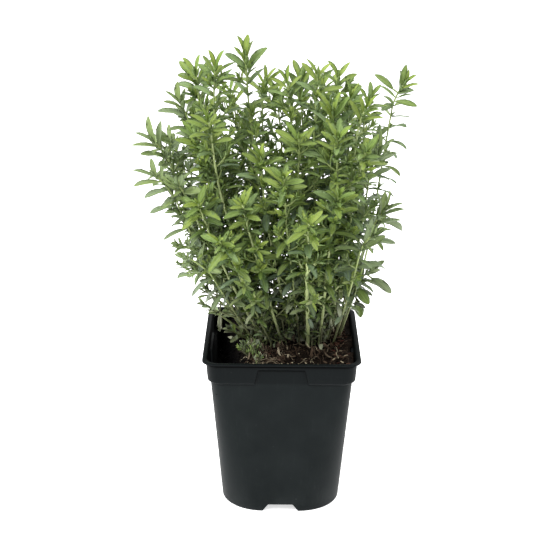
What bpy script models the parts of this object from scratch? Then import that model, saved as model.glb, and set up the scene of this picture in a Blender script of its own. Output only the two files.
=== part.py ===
"""Savory growing in a square plastic nursery pot: the pot, its compost and every leafy stem.

Lengths are in metres, +Z is up, and the pot stands on z = 0 with its front towards -Y.
"""

import math
import random

import bmesh
import bpy
from mathutils import Matrix, Vector
from mathutils.bvhtree import BVHTree

MM = 0.001

# Pot: outer sizes, and the gap that touching pieces keep
LIP_WIDTH = 110 * MM
POT_HEIGHT = 120 * MM
BASE_WIDTH = 85 * MM
BASE_CORNER = 30 * MM
WALL = 1.1 * MM
FIT = 0.3 * MM

# Shoulder band under the lip, with a trapezoid gap in the middle of each side
BAND_FOOT = 103 * MM
BAND_FOOT_WIDTH = 98.9 * MM
BAND_FOOT_CORNER = 9 * MM
BAND_STEP = 1.9 * MM
BAND_CHAMFER = 1.2 * MM
LIP_OVERHANG = 2.4 * MM
LIP_DEPTH = 2.2 * MM
LIP_ROUND = 0.5 * MM
GAP_TOP_WIDTH = 32 * MM
GAP_FOOT_WIDTH = 37 * MM
GAP_TOP = 114.5 * MM
POCKET_REACH = 6 * MM

# Underside: a raised floor with drain holes, and a trapezoid foot notch in each side
FLOOR_UNDERSIDE = 6 * MM
FLOOR_TOP = 7.2 * MM
FOOT_NOTCH_WIDTH = 24.5 * MM
FOOT_NOTCH_TOP_WIDTH = 18.6 * MM
FOOT_NOTCH_HEIGHT = 5.3 * MM
DRAIN_RADIUS = 4 * MM
DRAIN_OFFSET = 22 * MM
DRAIN_SIDES = 12
CUT_MARGIN = 2 * MM

# Compost: nearly full, but slumped away from the left wall
SOIL_TOP = 112.5 * MM
SOIL_SLUMP = 20 * MM
SLUMP_FROM_X = -29 * MM
SLUMP_TO_X = -41 * MM
SOIL_LUMPS = 1.3 * MM
SOIL_RINGS = (0.86, 0.68, 0.48, 0.26)
HOLE_SIDES = 5

# Facets of each round corner of the pot, and the edges that stay sharp
CORNER_STEPS = 6
SHARP_ANGLE = math.radians(35)
WELD_DISTANCE = 0.001 * MM

# Clump: stems stand close together in the compost and fan out as they rise
CLUMP_FOOT = Vector((11, 16, 0)) * MM
CLUMP_HEAD = Vector((-5, 2, 0)) * MM
FOOT_SPREAD_X = 0.40
FOOT_SPREAD_Y = 0.27
LEAN_START = 115 * MM
FULL_SPREAD = 300 * MM
FAN_POWER = 1.6
SWAY = 1.3 * MM
SWAY_LENGTH_X = 23 * MM
SWAY_LENGTH_Y = 27 * MM
NOD_LENGTH = 20 * MM
ROOT_DEPTH = 12 * MM
STEM_RADIUS = 1.15 * MM
TIP_RADIUS = 0.55 * MM
STEM_POINT_GAP = 30 * MM

# Leaves: pairs crowd together in the bud and stand wider apart down the stem
LEAF_LENGTH = 18 * MM
LEAF_WIDTH_SHARE = 0.32
BLADE_THICKNESS = 0.7 * MM
THROAT_WIDTH = 1 * MM
LEAST_OPENING = 0.3
WIDEST_AT = 0.58
FIRST_PAIR = 1 * MM
BUD_GAP = 1.3 * MM
GAP_GROWTH = 1.35
WIDEST_GAP = 9 * MM
BARE_FOOT = 24 * MM

# Leaf size: half in the bud, whole this far back, and less again on the old lower stem
FULL_SIZE_BACK = 7 * MM
OLD_AGE = 0.45
OLD_SHRINK = 0.35

# Leaf posture in degrees: how far it opens from the stem and bends over, from bud to old
BUD_OPENING = 14
GROWN_OPENING = 60
OLD_OPENING = 14
OPENING_BACK = 17 * MM
OPENING_JITTER = 9
BUD_DROOP = 8
GROWN_DROOP = 42
DROOP_BACK = 30 * MM
TURN_JITTER = 12
SIDE_JITTER = 9

# Which leaves are made, and the room that each leaves to its neighbours
LEAF_CLEARANCE = 0.35 * MM
LEAVES_PER_METRE = 62
FEWEST_LEAVES = 6
BUD_PAIRS = 2
GOLDEN = 0.618034
SEED = 800

# Tips of the stems in millimetres: across, towards the back, above the table, then how
# far the last stretch nods across and towards the back. Left to right, top to bottom.
TIPS = (
    (-59, 10, 308, -2, 0), (-47, -15, 315, 1, -2), (-25, 5, 320, -1, 0), (-14, 40, 296, 2, 3),
    (3, 0, 303, -1, 0), (12, 28, 300, 0, 2), (22, -8, 312, 0, -2), (37, 15, 306, 1, 1),
    (44, -9, 297, 2, -3), (53, -28, 292, 3, -4), (61, 28, 287, 3, 2), (87, 60, 292, 7, 0),
    (-71, 1, 289, -6, 0), (-86, -20, 268, -7, -2), (-81, 34, 254, -4, 2), (-69, -41, 243, -2, -7),
    (-85, -29, 246, -9, 2), (-50, -40, 286, -1, -8), (-59, -22, 272, -2, -4), (-56, -53, 234, 0, -9),
    (9, -36, 274, -1, -6), (35, -46, 277, 0, -8), (33, -24, 290, -1, -4), (53, -44, 268, 2, -6),
    (16, -64, 225, 0, -12), (0, -56, 252, -1, -9), (35, -54, 240, 1, -9), (-41, -63, 211, -3, -12),
    (-26, -53, 234, 0, -8), (-15, -38, 262, 0, -6), (67, 9, 253, 4, 1), (70, -21, 221, 6, -1),
    (65, 18, 199, 3, 0), (63, -1, 170, 9, -1), (-64, -45, 194, -9, -5), (-64, 14, 168, -8, 0),
    (-54, 5, 150, -8, -2), (-38, 50, 286, -2, 3), (-58, 44, 279, -3, 3), (-4, 62, 283, 0, 4),
    (27, 50, 290, 2, 3), (48, 56, 272, 4, 4), (-26, 61, 262, -1, 6), (10, 60, 262, 1, 6),
    (66, 42, 254, 5, 3), (60, -48, 212, 6, -6), (-31, 14, 132, -4, 0), (-17, -2, 127, -2, -3),
)


def clamp(value, low=0.0, high=1.0):
    """The value, kept between the two limits."""
    return min(max(value, low), high)


def square_ring(width, corner, height):
    """One level of the pot: points round a square with round corners, anticlockwise from above.

    height is a number, or a function of x and y where the level is not flat.
    """
    centre = width / 2 - corner
    ring = []
    for quarter in range(4):
        turn = math.radians(90 * quarter)
        middle = Matrix.Rotation(turn, 2) @ Vector((centre, centre))
        for step in range(CORNER_STEPS + 1):
            angle = turn + math.radians(90) * step / CORNER_STEPS
            x = middle.x + corner * math.cos(angle)
            y = middle.y + corner * math.sin(angle)
            ring.append((x, y, height(x, y) if callable(height) else height))
    return ring


def loft(name, rings, closed=False):
    """A skin over the rings in order. Its ends are capped, or joined to each other if closed."""
    bm = bmesh.new()
    levels = [[bm.verts.new(point) for point in ring] for ring in rings]
    pairs = list(zip(levels, levels[1:]))
    if closed:
        pairs.append((levels[-1], levels[0]))
    else:
        bm.faces.new(levels[0])
        bm.faces.new(levels[-1])
    for lower, upper in pairs:
        count = len(lower)
        for i in range(count):
            j = (i + 1) % count
            bm.faces.new((lower[i], lower[j], upper[j], upper[i]))
    bmesh.ops.recalc_face_normals(bm, faces=bm.faces)
    mesh = bpy.data.meshes.new(name)
    bm.to_mesh(mesh)
    bm.free()
    return bpy.data.objects.new(name, mesh)


def trapezoid_prism(name, foot_width, top_width, foot, top, near, far):
    """A cutter whose trapezoid outline stands in X and Z and runs from near to far along Y."""
    bm = bmesh.new()
    bmesh.ops.create_cube(bm, size=1)
    for vertex in bm.verts:
        low = vertex.co.z < 0
        vertex.co.x *= foot_width if low else top_width
        vertex.co.y = near if vertex.co.y < 0 else far
        vertex.co.z = foot if low else top
    mesh = bpy.data.meshes.new(name)
    bm.to_mesh(mesh)
    bm.free()
    return bpy.data.objects.new(name, mesh)


def drum(name, x, y, foot, top, radius, sides):
    """An upright cylinder whose flats, not its corners, stand at the radius."""
    bm = bmesh.new()
    corner = radius / math.cos(math.pi / sides)
    bmesh.ops.create_cone(
        bm, cap_ends=True, segments=sides, radius1=corner, radius2=corner, depth=top - foot
    )
    bmesh.ops.translate(bm, verts=bm.verts, vec=(x, y, (foot + top) / 2))
    mesh = bpy.data.meshes.new(name)
    bm.to_mesh(mesh)
    bm.free()
    return bpy.data.objects.new(name, mesh)


def show(obj, collection, material):
    """Puts a finished piece in the model, smooth but for its real edges."""
    collection.objects.link(obj)
    obj.data.materials.clear()
    obj.data.materials.append(material)
    obj.data.shade_smooth()
    obj.data.set_sharp_from_angle(angle=SHARP_ANGLE)


def hide(obj, collection):
    """Puts a cutter or another helper where it is neither rendered nor built."""
    collection.objects.link(obj)
    obj.hide_render = True
    obj.display_type = "WIRE"


def combine(obj, other, operation):
    """A Boolean with one other object, left on the piece as a modifier."""
    modifier = obj.modifiers.new(f"{operation.lower()}_{other.name}", "BOOLEAN")
    modifier.operation = operation
    modifier.object = other


def plain_material(name, colour, roughness):
    """A Principled finish of one colour."""
    material = bpy.data.materials.new(name)
    material.use_nodes = True
    shader = material.node_tree.nodes["Principled BSDF"]
    shader.inputs["Base Color"].default_value = (*colour, 1)
    shader.inputs["Roughness"].default_value = roughness
    shader.inputs["Metallic"].default_value = 0
    return material


def wall_width(z):
    """Outer width of the plain tapered wall at this height."""
    return BASE_WIDTH + (BAND_FOOT_WIDTH - BASE_WIDTH) * z / BAND_FOOT


def wall_corner(z):
    """Corner radius of the wall: wide and round at the foot, tight under the band."""
    return BASE_CORNER + (BAND_FOOT_CORNER - BASE_CORNER) * min(z / BAND_FOOT, 1)


def wall_ring(z, inset=0.0):
    """A level of the wall, moved inwards by inset."""
    return square_ring(wall_width(z) - 2 * inset, wall_corner(z) - inset, z)


def make_pot(parts, cutters):
    """A thin tapered shell with a lip, an outward band, a raised floor and notches in its foot."""
    lip_foot = POT_HEIGHT - LIP_DEPTH
    lip_corner = wall_corner(POT_HEIGHT)
    pot = loft("pot", [
        wall_ring(FLOOR_UNDERSIDE, WALL),
        wall_ring(0, WALL),
        wall_ring(0),
        wall_ring(BAND_FOOT / 2),
        wall_ring(BAND_FOOT),
        wall_ring(lip_foot),
        square_ring(LIP_WIDTH - 2 * LIP_ROUND, lip_corner, lip_foot),
        square_ring(LIP_WIDTH, lip_corner, lip_foot + LIP_ROUND),
        square_ring(LIP_WIDTH, lip_corner, POT_HEIGHT - LIP_ROUND),
        square_ring(LIP_WIDTH - 2 * LIP_ROUND, lip_corner, POT_HEIGHT),
        wall_ring(POT_HEIGHT, WALL),
        wall_ring(BAND_FOOT, WALL),
        wall_ring(FLOOR_TOP, WALL),
    ])
    show(pot, parts, plain_material("black_plastic", (0.019, 0.023, 0.024), 0.45))
    combine(pot, make_band(cutters), "UNION")
    combine(pot, make_band_hollow(cutters), "DIFFERENCE")
    for turn in (0, 90):
        notch = trapezoid_prism(
            f"foot_notch_{turn}", 2 * FOOT_NOTCH_WIDTH - FOOT_NOTCH_TOP_WIDTH, FOOT_NOTCH_TOP_WIDTH,
            -FOOT_NOTCH_HEIGHT, FOOT_NOTCH_HEIGHT, -LIP_WIDTH, LIP_WIDTH,
        )
        notch.rotation_euler.z = math.radians(turn)
        hide(notch, cutters)
        combine(pot, notch, "DIFFERENCE")
    for number, (side_x, side_y) in enumerate(((0, 0), (1, 1), (-1, 1), (-1, -1), (1, -1))):
        hole = drum(
            f"drain_{number}", side_x * DRAIN_OFFSET, side_y * DRAIN_OFFSET,
            FLOOR_UNDERSIDE - CUT_MARGIN, FLOOR_TOP + CUT_MARGIN, DRAIN_RADIUS, DRAIN_SIDES,
        )
        hide(hole, cutters)
        combine(pot, hole, "DIFFERENCE")
    return pot


def band_width(z):
    """Outer width of the shoulder band, which leans out from the wall up to the lip."""
    foot = BAND_FOOT_WIDTH + 2 * BAND_STEP
    head = LIP_WIDTH - 2 * LIP_OVERHANG
    return foot + (head - foot) * (z - BAND_FOOT) / (POT_HEIGHT - BAND_FOOT)


def band_ring(z, inset=0.0):
    """A level of the band's outside, moved inwards by inset."""
    return square_ring(band_width(z) - 2 * inset, BAND_FOOT_CORNER - inset, z)


def cut_gaps(ring, cutters, margin, near, far):
    """Takes the trapezoid gap of each side out of a ring, widened by margin all round."""
    for turn in (0, 90, 180, 270):
        gap = trapezoid_prism(
            f"{ring.name}_gap_{turn}", GAP_FOOT_WIDTH + 2 * margin, GAP_TOP_WIDTH + 2 * margin,
            BAND_FOOT - CUT_MARGIN, GAP_TOP + margin, near, far,
        )
        gap.rotation_euler.z = math.radians(turn)
        hide(gap, cutters)
        combine(ring, gap, "DIFFERENCE")


def make_band(cutters):
    """The raised shoulder under the lip, sunk half way into the wall."""
    sunk = WALL / 2
    top = POT_HEIGHT - LIP_DEPTH / 2
    band = loft("band", [
        square_ring(wall_width(BAND_FOOT) - 2 * sunk, BAND_FOOT_CORNER - sunk, BAND_FOOT),
        band_ring(BAND_FOOT, BAND_CHAMFER),
        band_ring(BAND_FOOT + BAND_CHAMFER),
        band_ring(top),
        square_ring(wall_width(top) - 2 * sunk, BAND_FOOT_CORNER - sunk, top),
    ], closed=True)
    hide(band, cutters)
    cut_gaps(band, cutters, 0, -LIP_WIDTH, FIT - wall_width(BAND_FOOT) / 2)
    return band


def make_band_hollow(cutters):
    """The pocket behind the band, which keeps the moulding one wall thick."""
    inner_width = wall_width(BAND_FOOT) - 2 * POCKET_REACH
    foot = BAND_FOOT + CUT_MARGIN
    top = POT_HEIGHT - LIP_DEPTH - LIP_ROUND
    hollow = loft("band_hollow", [
        square_ring(inner_width, BAND_FOOT_CORNER, foot),
        band_ring(foot, WALL),
        band_ring(top, WALL),
        square_ring(inner_width, BAND_FOOT_CORNER, top),
    ], closed=True)
    hide(hollow, cutters)
    cut_gaps(hollow, cutters, WALL, -LIP_WIDTH, 2 * POCKET_REACH - wall_width(BAND_FOOT) / 2)
    return hollow


def soil_height(x, y):
    """Top of the compost: level with small lumps, slumping away at the left wall."""
    slump = clamp((SLUMP_FROM_X - x) / (SLUMP_FROM_X - SLUMP_TO_X))
    slump = slump * slump * (3 - 2 * slump)
    broad = math.sin(x / (7.1 * MM) + 1.3) * math.cos(y / (5.9 * MM))
    fine = 0.6 * math.sin((x - y) / (3.7 * MM))
    return SOIL_TOP - SOIL_SLUMP * slump + SOIL_LUMPS * (broad + fine)


def make_soil(parts, cutters, feet):
    """The compost: it fills the pot with a hair of room, and has a plain hole for every stem."""
    inset = WALL + FIT
    foot = FLOOR_TOP + FIT
    rings = [wall_ring(foot, inset), wall_ring(BAND_FOOT / 2, inset)]
    rings.append(wall_ring(SOIL_TOP - SOIL_SLUMP - 4 * SOIL_LUMPS, inset))
    brim = []
    for i, (x, y, _) in enumerate(wall_ring(SOIL_TOP, inset)):
        brim.append(wall_ring(soil_height(x, y), inset)[i])
    rings.append(brim)
    for share in SOIL_RINGS:
        rings.append([(x * share, y * share, soil_height(x * share, y * share)) for x, y, _ in brim])
    soil = loft("compost", rings)
    show(soil, parts, plain_material("dark_compost", (0.035, 0.022, 0.015), 0.95))
    for number, foot_point in enumerate(feet):
        hole = drum(
            f"stem_hole_{number + 1:02d}", foot_point.x, foot_point.y,
            SOIL_TOP - ROOT_DEPTH - FIT, POT_HEIGHT, STEM_RADIUS + FIT, HOLE_SIDES,
        )
        hide(hole, cutters)
        combine(soil, hole, "DIFFERENCE")
    return soil


def fan(z):
    """How far the clump has opened at this height: 0 at its foot, 1 at its full spread."""
    rise = clamp((z - LEAN_START) / (FULL_SPREAD - LEAN_START))
    return 1 - (1 - rise) ** FAN_POWER


def clump_point(place, z):
    """Where a stem of this place in the clump is at this height. Places never meet."""
    opened = fan(z)
    centre = CLUMP_FOOT.lerp(CLUMP_HEAD, opened)
    spread_x = FOOT_SPREAD_X + (1 - FOOT_SPREAD_X) * opened
    spread_y = FOOT_SPREAD_Y + (1 - FOOT_SPREAD_Y) * opened
    return Vector((centre.x + spread_x * place.x, centre.y + spread_y * place.y, z))


class Stem:
    """One stem's line from the compost to its tip, with the places of its leaves."""

    def __init__(self, number, row):
        x, y, self.top, nod_x, nod_y = (value * MM for value in row)
        self.random = random.Random(SEED + number)
        self.nod = Vector((nod_x, nod_y, 0))
        opened = fan(self.top)
        centre = CLUMP_FOOT.lerp(CLUMP_HEAD, opened)
        self.place = Vector((
            (x - nod_x - centre.x) / (FOOT_SPREAD_X + (1 - FOOT_SPREAD_X) * opened),
            (y - nod_y - centre.y) / (FOOT_SPREAD_Y + (1 - FOOT_SPREAD_Y) * opened),
        ))
        self.sway = self.random.uniform(0, 2 * math.pi)
        steps = max(2, round((self.top - LEAN_START) / STEM_POINT_GAP))
        heights = [LEAN_START + (self.top - LEAN_START) * i / steps for i in range(steps)]
        heights += [self.top - NOD_LENGTH / 2, self.top]
        self.line = [self.point(z) for z in sorted(heights)]
        self.back = [0.0]
        for upper, lower in zip(self.line[::-1], self.line[-2::-1]):
            self.back.insert(0, self.back[0] + (upper - lower).length)
        self.length = self.back[0]

    def point(self, z):
        """The stem's middle at this height: its place in the clump, a slight sway, and its nod."""
        point = clump_point(self.place, z)
        wave = SWAY * fan(z)
        point.x += wave * math.sin(self.sway + z / SWAY_LENGTH_X)
        point.y += wave * math.cos(2 * self.sway + z / SWAY_LENGTH_Y)
        nod = clamp(1 - (self.top - z) / NOD_LENGTH)
        return point + self.nod * nod * nod

    def at(self, back):
        """The middle and direction of the stem, this far back from its tip."""
        i = next(k for k in range(len(self.back) - 1) if self.back[k + 1] <= back)
        share = (self.back[i] - back) / (self.back[i] - self.back[i + 1])
        along = self.line[i + 1] - self.line[i]
        return self.line[i] + along * share, along.normalized()

    def tube_points(self):
        """The points of the tube's line, with its buried root."""
        return [self.point(SOIL_TOP - ROOT_DEPTH)] + self.line


def pair_places(stem):
    """Where the leaf pairs stand: distances back from the tip, crowded in the bud."""
    back = FIRST_PAIR
    gap = BUD_GAP
    while back < stem.length - BARE_FOOT or back < 2 * FIRST_PAIR:
        yield back
        back += gap
        gap = min(gap * GAP_GROWTH, WIDEST_GAP)


def leaf_on(stem, back, age, turn):
    """One leaf: where it is rooted, which way it points and how it bends over."""
    rng = stem.random
    middle, axis = stem.at(back)
    turn += math.radians(rng.uniform(-SIDE_JITTER, SIDE_JITTER))
    outward = Matrix.Rotation(turn, 3, axis) @ axis.cross(Vector((0, 1, 0))).normalized()
    opening = BUD_OPENING + GROWN_OPENING * (1 - math.exp(-back / OPENING_BACK)) + OLD_OPENING * age
    opening = math.radians(opening + rng.uniform(-OPENING_JITTER, OPENING_JITTER))
    size = 0.5 + 0.5 * min(back / FULL_SIZE_BACK, 1) - OLD_SHRINK * max(age - OLD_AGE, 0)
    length = LEAF_LENGTH * size * rng.uniform(0.84, 1.14)
    grown = 1 - math.exp(-back / DROOP_BACK)
    return {
        "root": middle,
        "axis": axis,
        "along": (axis * math.cos(opening) + outward * math.sin(opening)).normalized(),
        "across": axis.cross(outward).normalized(),
        "length": length,
        "width": length * LEAF_WIDTH_SHARE * rng.uniform(0.88, 1.15),
        "droop": math.radians(BUD_DROOP + GROWN_DROOP * grown * rng.uniform(0.3, 1.4)),
    }


def pairs_of(stem):
    """Every leaf pair of a stem: crossed pairs that open, lengthen and droop with their age."""
    turn = stem.random.uniform(0, math.pi)
    pairs = []
    for back in pair_places(stem):
        turn += math.radians(90 + stem.random.uniform(-TURN_JITTER, TURN_JITTER))
        age = clamp(back / max(stem.length, 2 * BARE_FOOT))
        pairs.append([leaf_on(stem, back, age, turn + half) for half in (0, math.pi)])
    return pairs


def blade(leaf, room=0.0):
    """Three sections of one leaf along its arc: at the stem, at its widest, and its point.

    A section is a left edge, a right edge and a keel. room thickens the blade on all sides,
    which tests how much space it has.
    """
    axis, along, across = leaf["axis"], leaf["along"], leaf["across"]
    above = along.cross(across)
    opening = max(along.cross(axis).length, LEAST_OPENING)
    droop = leaf["droop"]

    def middle(share):
        run = (leaf["length"] + room * share) * math.sin(droop * share) / droop
        fall = leaf["length"] * (1 - math.cos(droop * share)) / droop
        return leaf["root"] + along * run - above * fall

    bent = droop * WIDEST_AT
    up = above * math.cos(bent) + along * math.sin(bent)
    half = leaf["width"] / 2 + room
    widest = middle(WIDEST_AT)
    rise = BLADE_THICKNESS / 2 + room
    throat = THROAT_WIDTH / 2 + room
    foot = leaf["root"]
    return [
        [foot - across * throat + axis * rise / opening,
         foot + across * throat + axis * rise / opening,
         foot - axis * rise / opening],
        [widest - across * half + up * rise, widest + across * half + up * rise, widest - up * rise],
        [middle(1)],
    ]


def skin(sections):
    """Points and faces over triangular sections. The first or last may be a single point."""
    points = [point for section in sections for point in section]
    faces = []
    first = 0
    if len(sections[0]) == 3:
        faces.append((0, 1, 2))
    for near, far in zip(sections, sections[1:]):
        beyond = first + len(near)
        for a, b in ((0, 1), (1, 2), (2, 0)):
            if len(near) == 1:
                faces.append((first, beyond + a, beyond + b))
            elif len(far) == 1:
                faces.append((first + b, first + a, beyond))
            else:
                faces.append((first + b, first + a, beyond + a, beyond + b))
        first = beyond
    return points, faces


def leaf_solid(leaf, room=0.0):
    """One leaf by itself."""
    return skin(blade(leaf, room))


def pair_solid(left, right):
    """Two opposite leaves as one blade that passes through the stem."""
    near = blade(left)
    far = [[section[1], section[0], *section[2:]] if len(section) == 3 else section
           for section in blade(right)]
    return skin(near[::-1] + far[1:])


def tree_of(points, faces):
    """The surface as a search tree, for finding what touches it."""
    return BVHTree.FromPolygons([tuple(point) for point in points], faces)


def tree_of_object(obj):
    """The search tree of a mesh object."""
    points = [obj.matrix_world @ vertex.co for vertex in obj.data.vertices]
    return tree_of(points, [tuple(face.vertices) for face in obj.data.polygons])


def make_tube(name, points):
    """A stem's tube: a square-sided curve that thins towards its tip, made a closed mesh."""
    curve = bpy.data.curves.new(f"{name}_line", "CURVE")
    curve.dimensions = "3D"
    curve.bevel_depth = STEM_RADIUS
    curve.bevel_resolution = 0
    curve.use_fill_caps = True
    spline = curve.splines.new("POLY")
    spline.points.add(len(points) - 1)
    for i, point in enumerate(points):
        thin = clamp(i / (len(points) - 1))
        spline.points[i].co = (*point, 1)
        spline.points[i].radius = 1 + (TIP_RADIUS / STEM_RADIUS - 1) * thin
    line = bpy.data.objects.new(f"{name}_line", curve)
    bpy.context.scene.collection.objects.link(line)
    graph = bpy.context.evaluated_depsgraph_get()
    mesh = bpy.data.meshes.new_from_object(line.evaluated_get(graph))
    bpy.data.objects.remove(line)
    bm = bmesh.new()
    bm.from_mesh(mesh)
    bmesh.ops.remove_doubles(bm, verts=bm.verts, dist=WELD_DISTANCE)
    bmesh.ops.recalc_face_normals(bm, faces=bm.faces)
    bm.to_mesh(mesh)
    bm.free()
    return bpy.data.objects.new(name, mesh)


def in_turn(pairs):
    """The pairs in the order they are tried: the bud first, then evenly down the stem."""
    order = sorted(range(BUD_PAIRS, len(pairs)), key=lambda i: (i * GOLDEN) % 1)
    return pairs[:BUD_PAIRS] + [pairs[i] for i in order]


def mesh_of(points, faces):
    """A closed mesh whose faces look outwards."""
    bm = bmesh.new()
    corners = [bm.verts.new(point) for point in points]
    for face in faces:
        bm.faces.new([corners[i] for i in face])
    bmesh.ops.recalc_face_normals(bm, faces=bm.faces)
    mesh = bpy.data.meshes.new("leaves")
    bm.to_mesh(mesh)
    bm.free()
    return mesh


def outer_shell(mesh):
    """Keeps the mesh's outer skin alone, so that no pocket between two leaves stays sealed."""
    bm = bmesh.new()
    bm.from_mesh(mesh)
    left = set(bm.verts)
    shells = []
    while left:
        shell = set()
        front = [left.pop()]
        while front:
            vertex = front.pop()
            shell.add(vertex)
            near = [edge.other_vert(vertex) for edge in vertex.link_edges]
            front += [other for other in near if other in left]
            left.difference_update(near)
        shells.append(shell)
    shells.sort(key=len)
    for shell in shells[:-1]:
        bmesh.ops.delete(bm, geom=list(shell), context="VERTS")
    bm.to_mesh(mesh)
    bm.free()


def dress(tube, stem, trees):
    """Fuses leaves to a stem's tube, leaving out those that would touch another stem."""
    others = [tree for name, tree in trees.items() if not name.startswith(tube.name)]
    blades = bpy.data.collections.new(f"{tube.name}_leaves")
    bpy.context.scene.collection.children.link(blades)
    wanted = max(FEWEST_LEAVES, round(stem.length * LEAVES_PER_METRE))
    kept = []
    for pair in in_turn(pairs_of(stem)):
        if len(kept) >= wanted:
            break
        free = []
        for leaf in pair:
            fat = tree_of(*leaf_solid(leaf, LEAF_CLEARANCE))
            if not any(fat.overlap(tree) for tree in others):
                free.append(leaf)
        if free:
            solid = pair_solid(*free) if len(free) == 2 else leaf_solid(free[0])
            blades.objects.link(bpy.data.objects.new("leaves", mesh_of(*solid)))
            kept += free
    for number, leaf in enumerate(kept):
        trees[f"{tube.name}_leaf_{number}"] = tree_of(*leaf_solid(leaf))
    modifier = tube.modifiers.new("fuse_leaves", "BOOLEAN")
    modifier.operation = "UNION"
    modifier.operand_type = "COLLECTION"
    modifier.collection = blades
    modifier.solver = "EXACT"
    graph = bpy.context.evaluated_depsgraph_get()
    fused = bpy.data.meshes.new_from_object(tube.evaluated_get(graph))
    tube.modifiers.clear()
    outer_shell(fused)
    tube.data = fused
    for obj in list(blades.objects):
        bpy.data.objects.remove(obj)
    bpy.data.collections.remove(blades)


def make_stems(parts, stems):
    """All the leafy stems, each one node."""
    tubes = []
    for number, stem in enumerate(stems):
        tube = make_tube(f"stem_{number + 1:02d}", stem.tube_points())
        show(tube, parts, plain_material(f"{tube.name}_green", (0.16, 0.27, 0.05), 0.5))
        tubes.append(tube)
    trees = {tube.name: tree_of_object(tube) for tube in tubes}
    for tube, stem in zip(tubes, stems):
        dress(tube, stem, trees)


def main():
    for obj in list(bpy.data.objects):
        bpy.data.objects.remove(obj)
    parts = bpy.data.collections.new("potted_savory")
    cutters = bpy.data.collections.new("cutters")
    bpy.context.scene.collection.children.link(parts)
    bpy.context.scene.collection.children.link(cutters)
    stems = [Stem(number, row) for number, row in enumerate(TIPS)]
    make_pot(parts, cutters)
    make_soil(parts, cutters, [stem.point(SOIL_TOP) for stem in stems])
    make_stems(parts, stems)


main()
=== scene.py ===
"""Savory in a square black nursery pot, finished for the photograph.

Lengths are in metres, +Z is up, and the pot stands on z = 0 with its front towards -Y. The pot, the
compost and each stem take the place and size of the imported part's own, with finer surfaces.
"""

import math
import random

import bpy
import numpy as np
from mathutils import Matrix, Vector


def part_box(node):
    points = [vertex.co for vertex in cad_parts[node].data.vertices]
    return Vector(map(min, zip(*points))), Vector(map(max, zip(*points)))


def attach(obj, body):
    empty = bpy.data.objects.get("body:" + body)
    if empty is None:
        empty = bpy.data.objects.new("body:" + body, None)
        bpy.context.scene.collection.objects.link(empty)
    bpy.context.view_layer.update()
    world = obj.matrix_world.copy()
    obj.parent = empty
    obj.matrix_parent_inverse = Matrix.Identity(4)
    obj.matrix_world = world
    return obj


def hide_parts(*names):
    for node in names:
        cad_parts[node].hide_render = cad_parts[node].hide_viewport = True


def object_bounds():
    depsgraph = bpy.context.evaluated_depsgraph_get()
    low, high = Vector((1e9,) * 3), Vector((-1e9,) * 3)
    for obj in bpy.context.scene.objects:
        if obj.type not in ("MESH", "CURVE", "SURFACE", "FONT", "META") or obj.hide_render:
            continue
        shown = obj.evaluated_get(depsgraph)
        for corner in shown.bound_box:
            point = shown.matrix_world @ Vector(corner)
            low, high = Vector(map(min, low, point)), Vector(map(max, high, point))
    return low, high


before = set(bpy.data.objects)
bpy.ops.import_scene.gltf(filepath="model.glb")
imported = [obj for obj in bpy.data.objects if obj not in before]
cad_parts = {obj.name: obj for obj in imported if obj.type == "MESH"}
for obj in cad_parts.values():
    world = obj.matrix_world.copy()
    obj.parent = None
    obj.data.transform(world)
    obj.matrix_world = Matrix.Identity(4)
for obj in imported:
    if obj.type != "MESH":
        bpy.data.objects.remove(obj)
cad_low, cad_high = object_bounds()

MM = 0.001
UP = Vector((0, 0, 1))

# Chance: each stem and each kind of litter draws from a seed of its own, worked out from this one
SEED = 800

# Camera: the photograph's frame in pixels, its focal length in them, and where it stands
PHOTO_SIDE = 554
FOCAL_PIXELS = 1377.35
SENSOR_WIDTH = 36
VIEW_DISTANCE = 976.9 * MM
VIEW_ELEVATION = math.radians(19.93)
VIEW_ROLL = math.radians(0.47)
VIEW_TARGET = Vector((-3.7, 0, 164)) * MM

# Studio: the floor glows a little, which keeps its shadows pale. A light has a place, width and power.
FLOOR_HALF = 5
FLOOR_GLOW = 0.6
WORLD_STRENGTH = 0.75
LIGHT_AIM = Vector((0, 0, 0.17))
LIGHTS = {
    "key_light": ((-0.95, -0.9, 1.5), 0.8, 32),
    "fill_light": ((1.1, -0.9, 0.9), 0.9, 5),
    "back_light": ((0.7, 0.95, 1.3), 0.9, 21),
    "side_light": ((-1.3, 0.4, 1.0), 0.8, 14),
}

# Pot: sizes of the moulding, which the frame's pot has too
POT_LOW, POT_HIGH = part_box("pot")
LIP_WIDTH = POT_HIGH.x - POT_LOW.x
POT_HEIGHT = POT_HIGH.z
BASE_WIDTH = 85 * MM
BASE_CORNER = 30 * MM
WALL = 1.1 * MM
BAND_FOOT = 103 * MM
BAND_FOOT_WIDTH = 98.9 * MM
BAND_CORNER = 9 * MM
BAND_STEP = 1.9 * MM
LIP_OVERHANG = 2.4 * MM
LIP_DEPTH = 1.6 * MM
GAP_TOP = 114.5 * MM
GAP_FOOT_HALF = 18.5 * MM
GAP_TOP_HALF = 16 * MM
GAP_SIDE_BLEND = 0.45 * MM
GAP_TOP_BLEND = 0.35 * MM
NOTCH_FOOT_HALF = 12.25 * MM
NOTCH_TOP_HALF = 9.3 * MM
NOTCH_HEIGHT = 5.3 * MM
NOTCH_ZONE = 12 * MM
EDGE_BAND = 1.2 * MM
FLOOR_MIDDLE = 6.6 * MM
FLOOR_THICKNESS = 1.2 * MM
DRAIN_RADIUS = 4 * MM
DRAIN_OFFSET = 22 * MM

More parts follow.
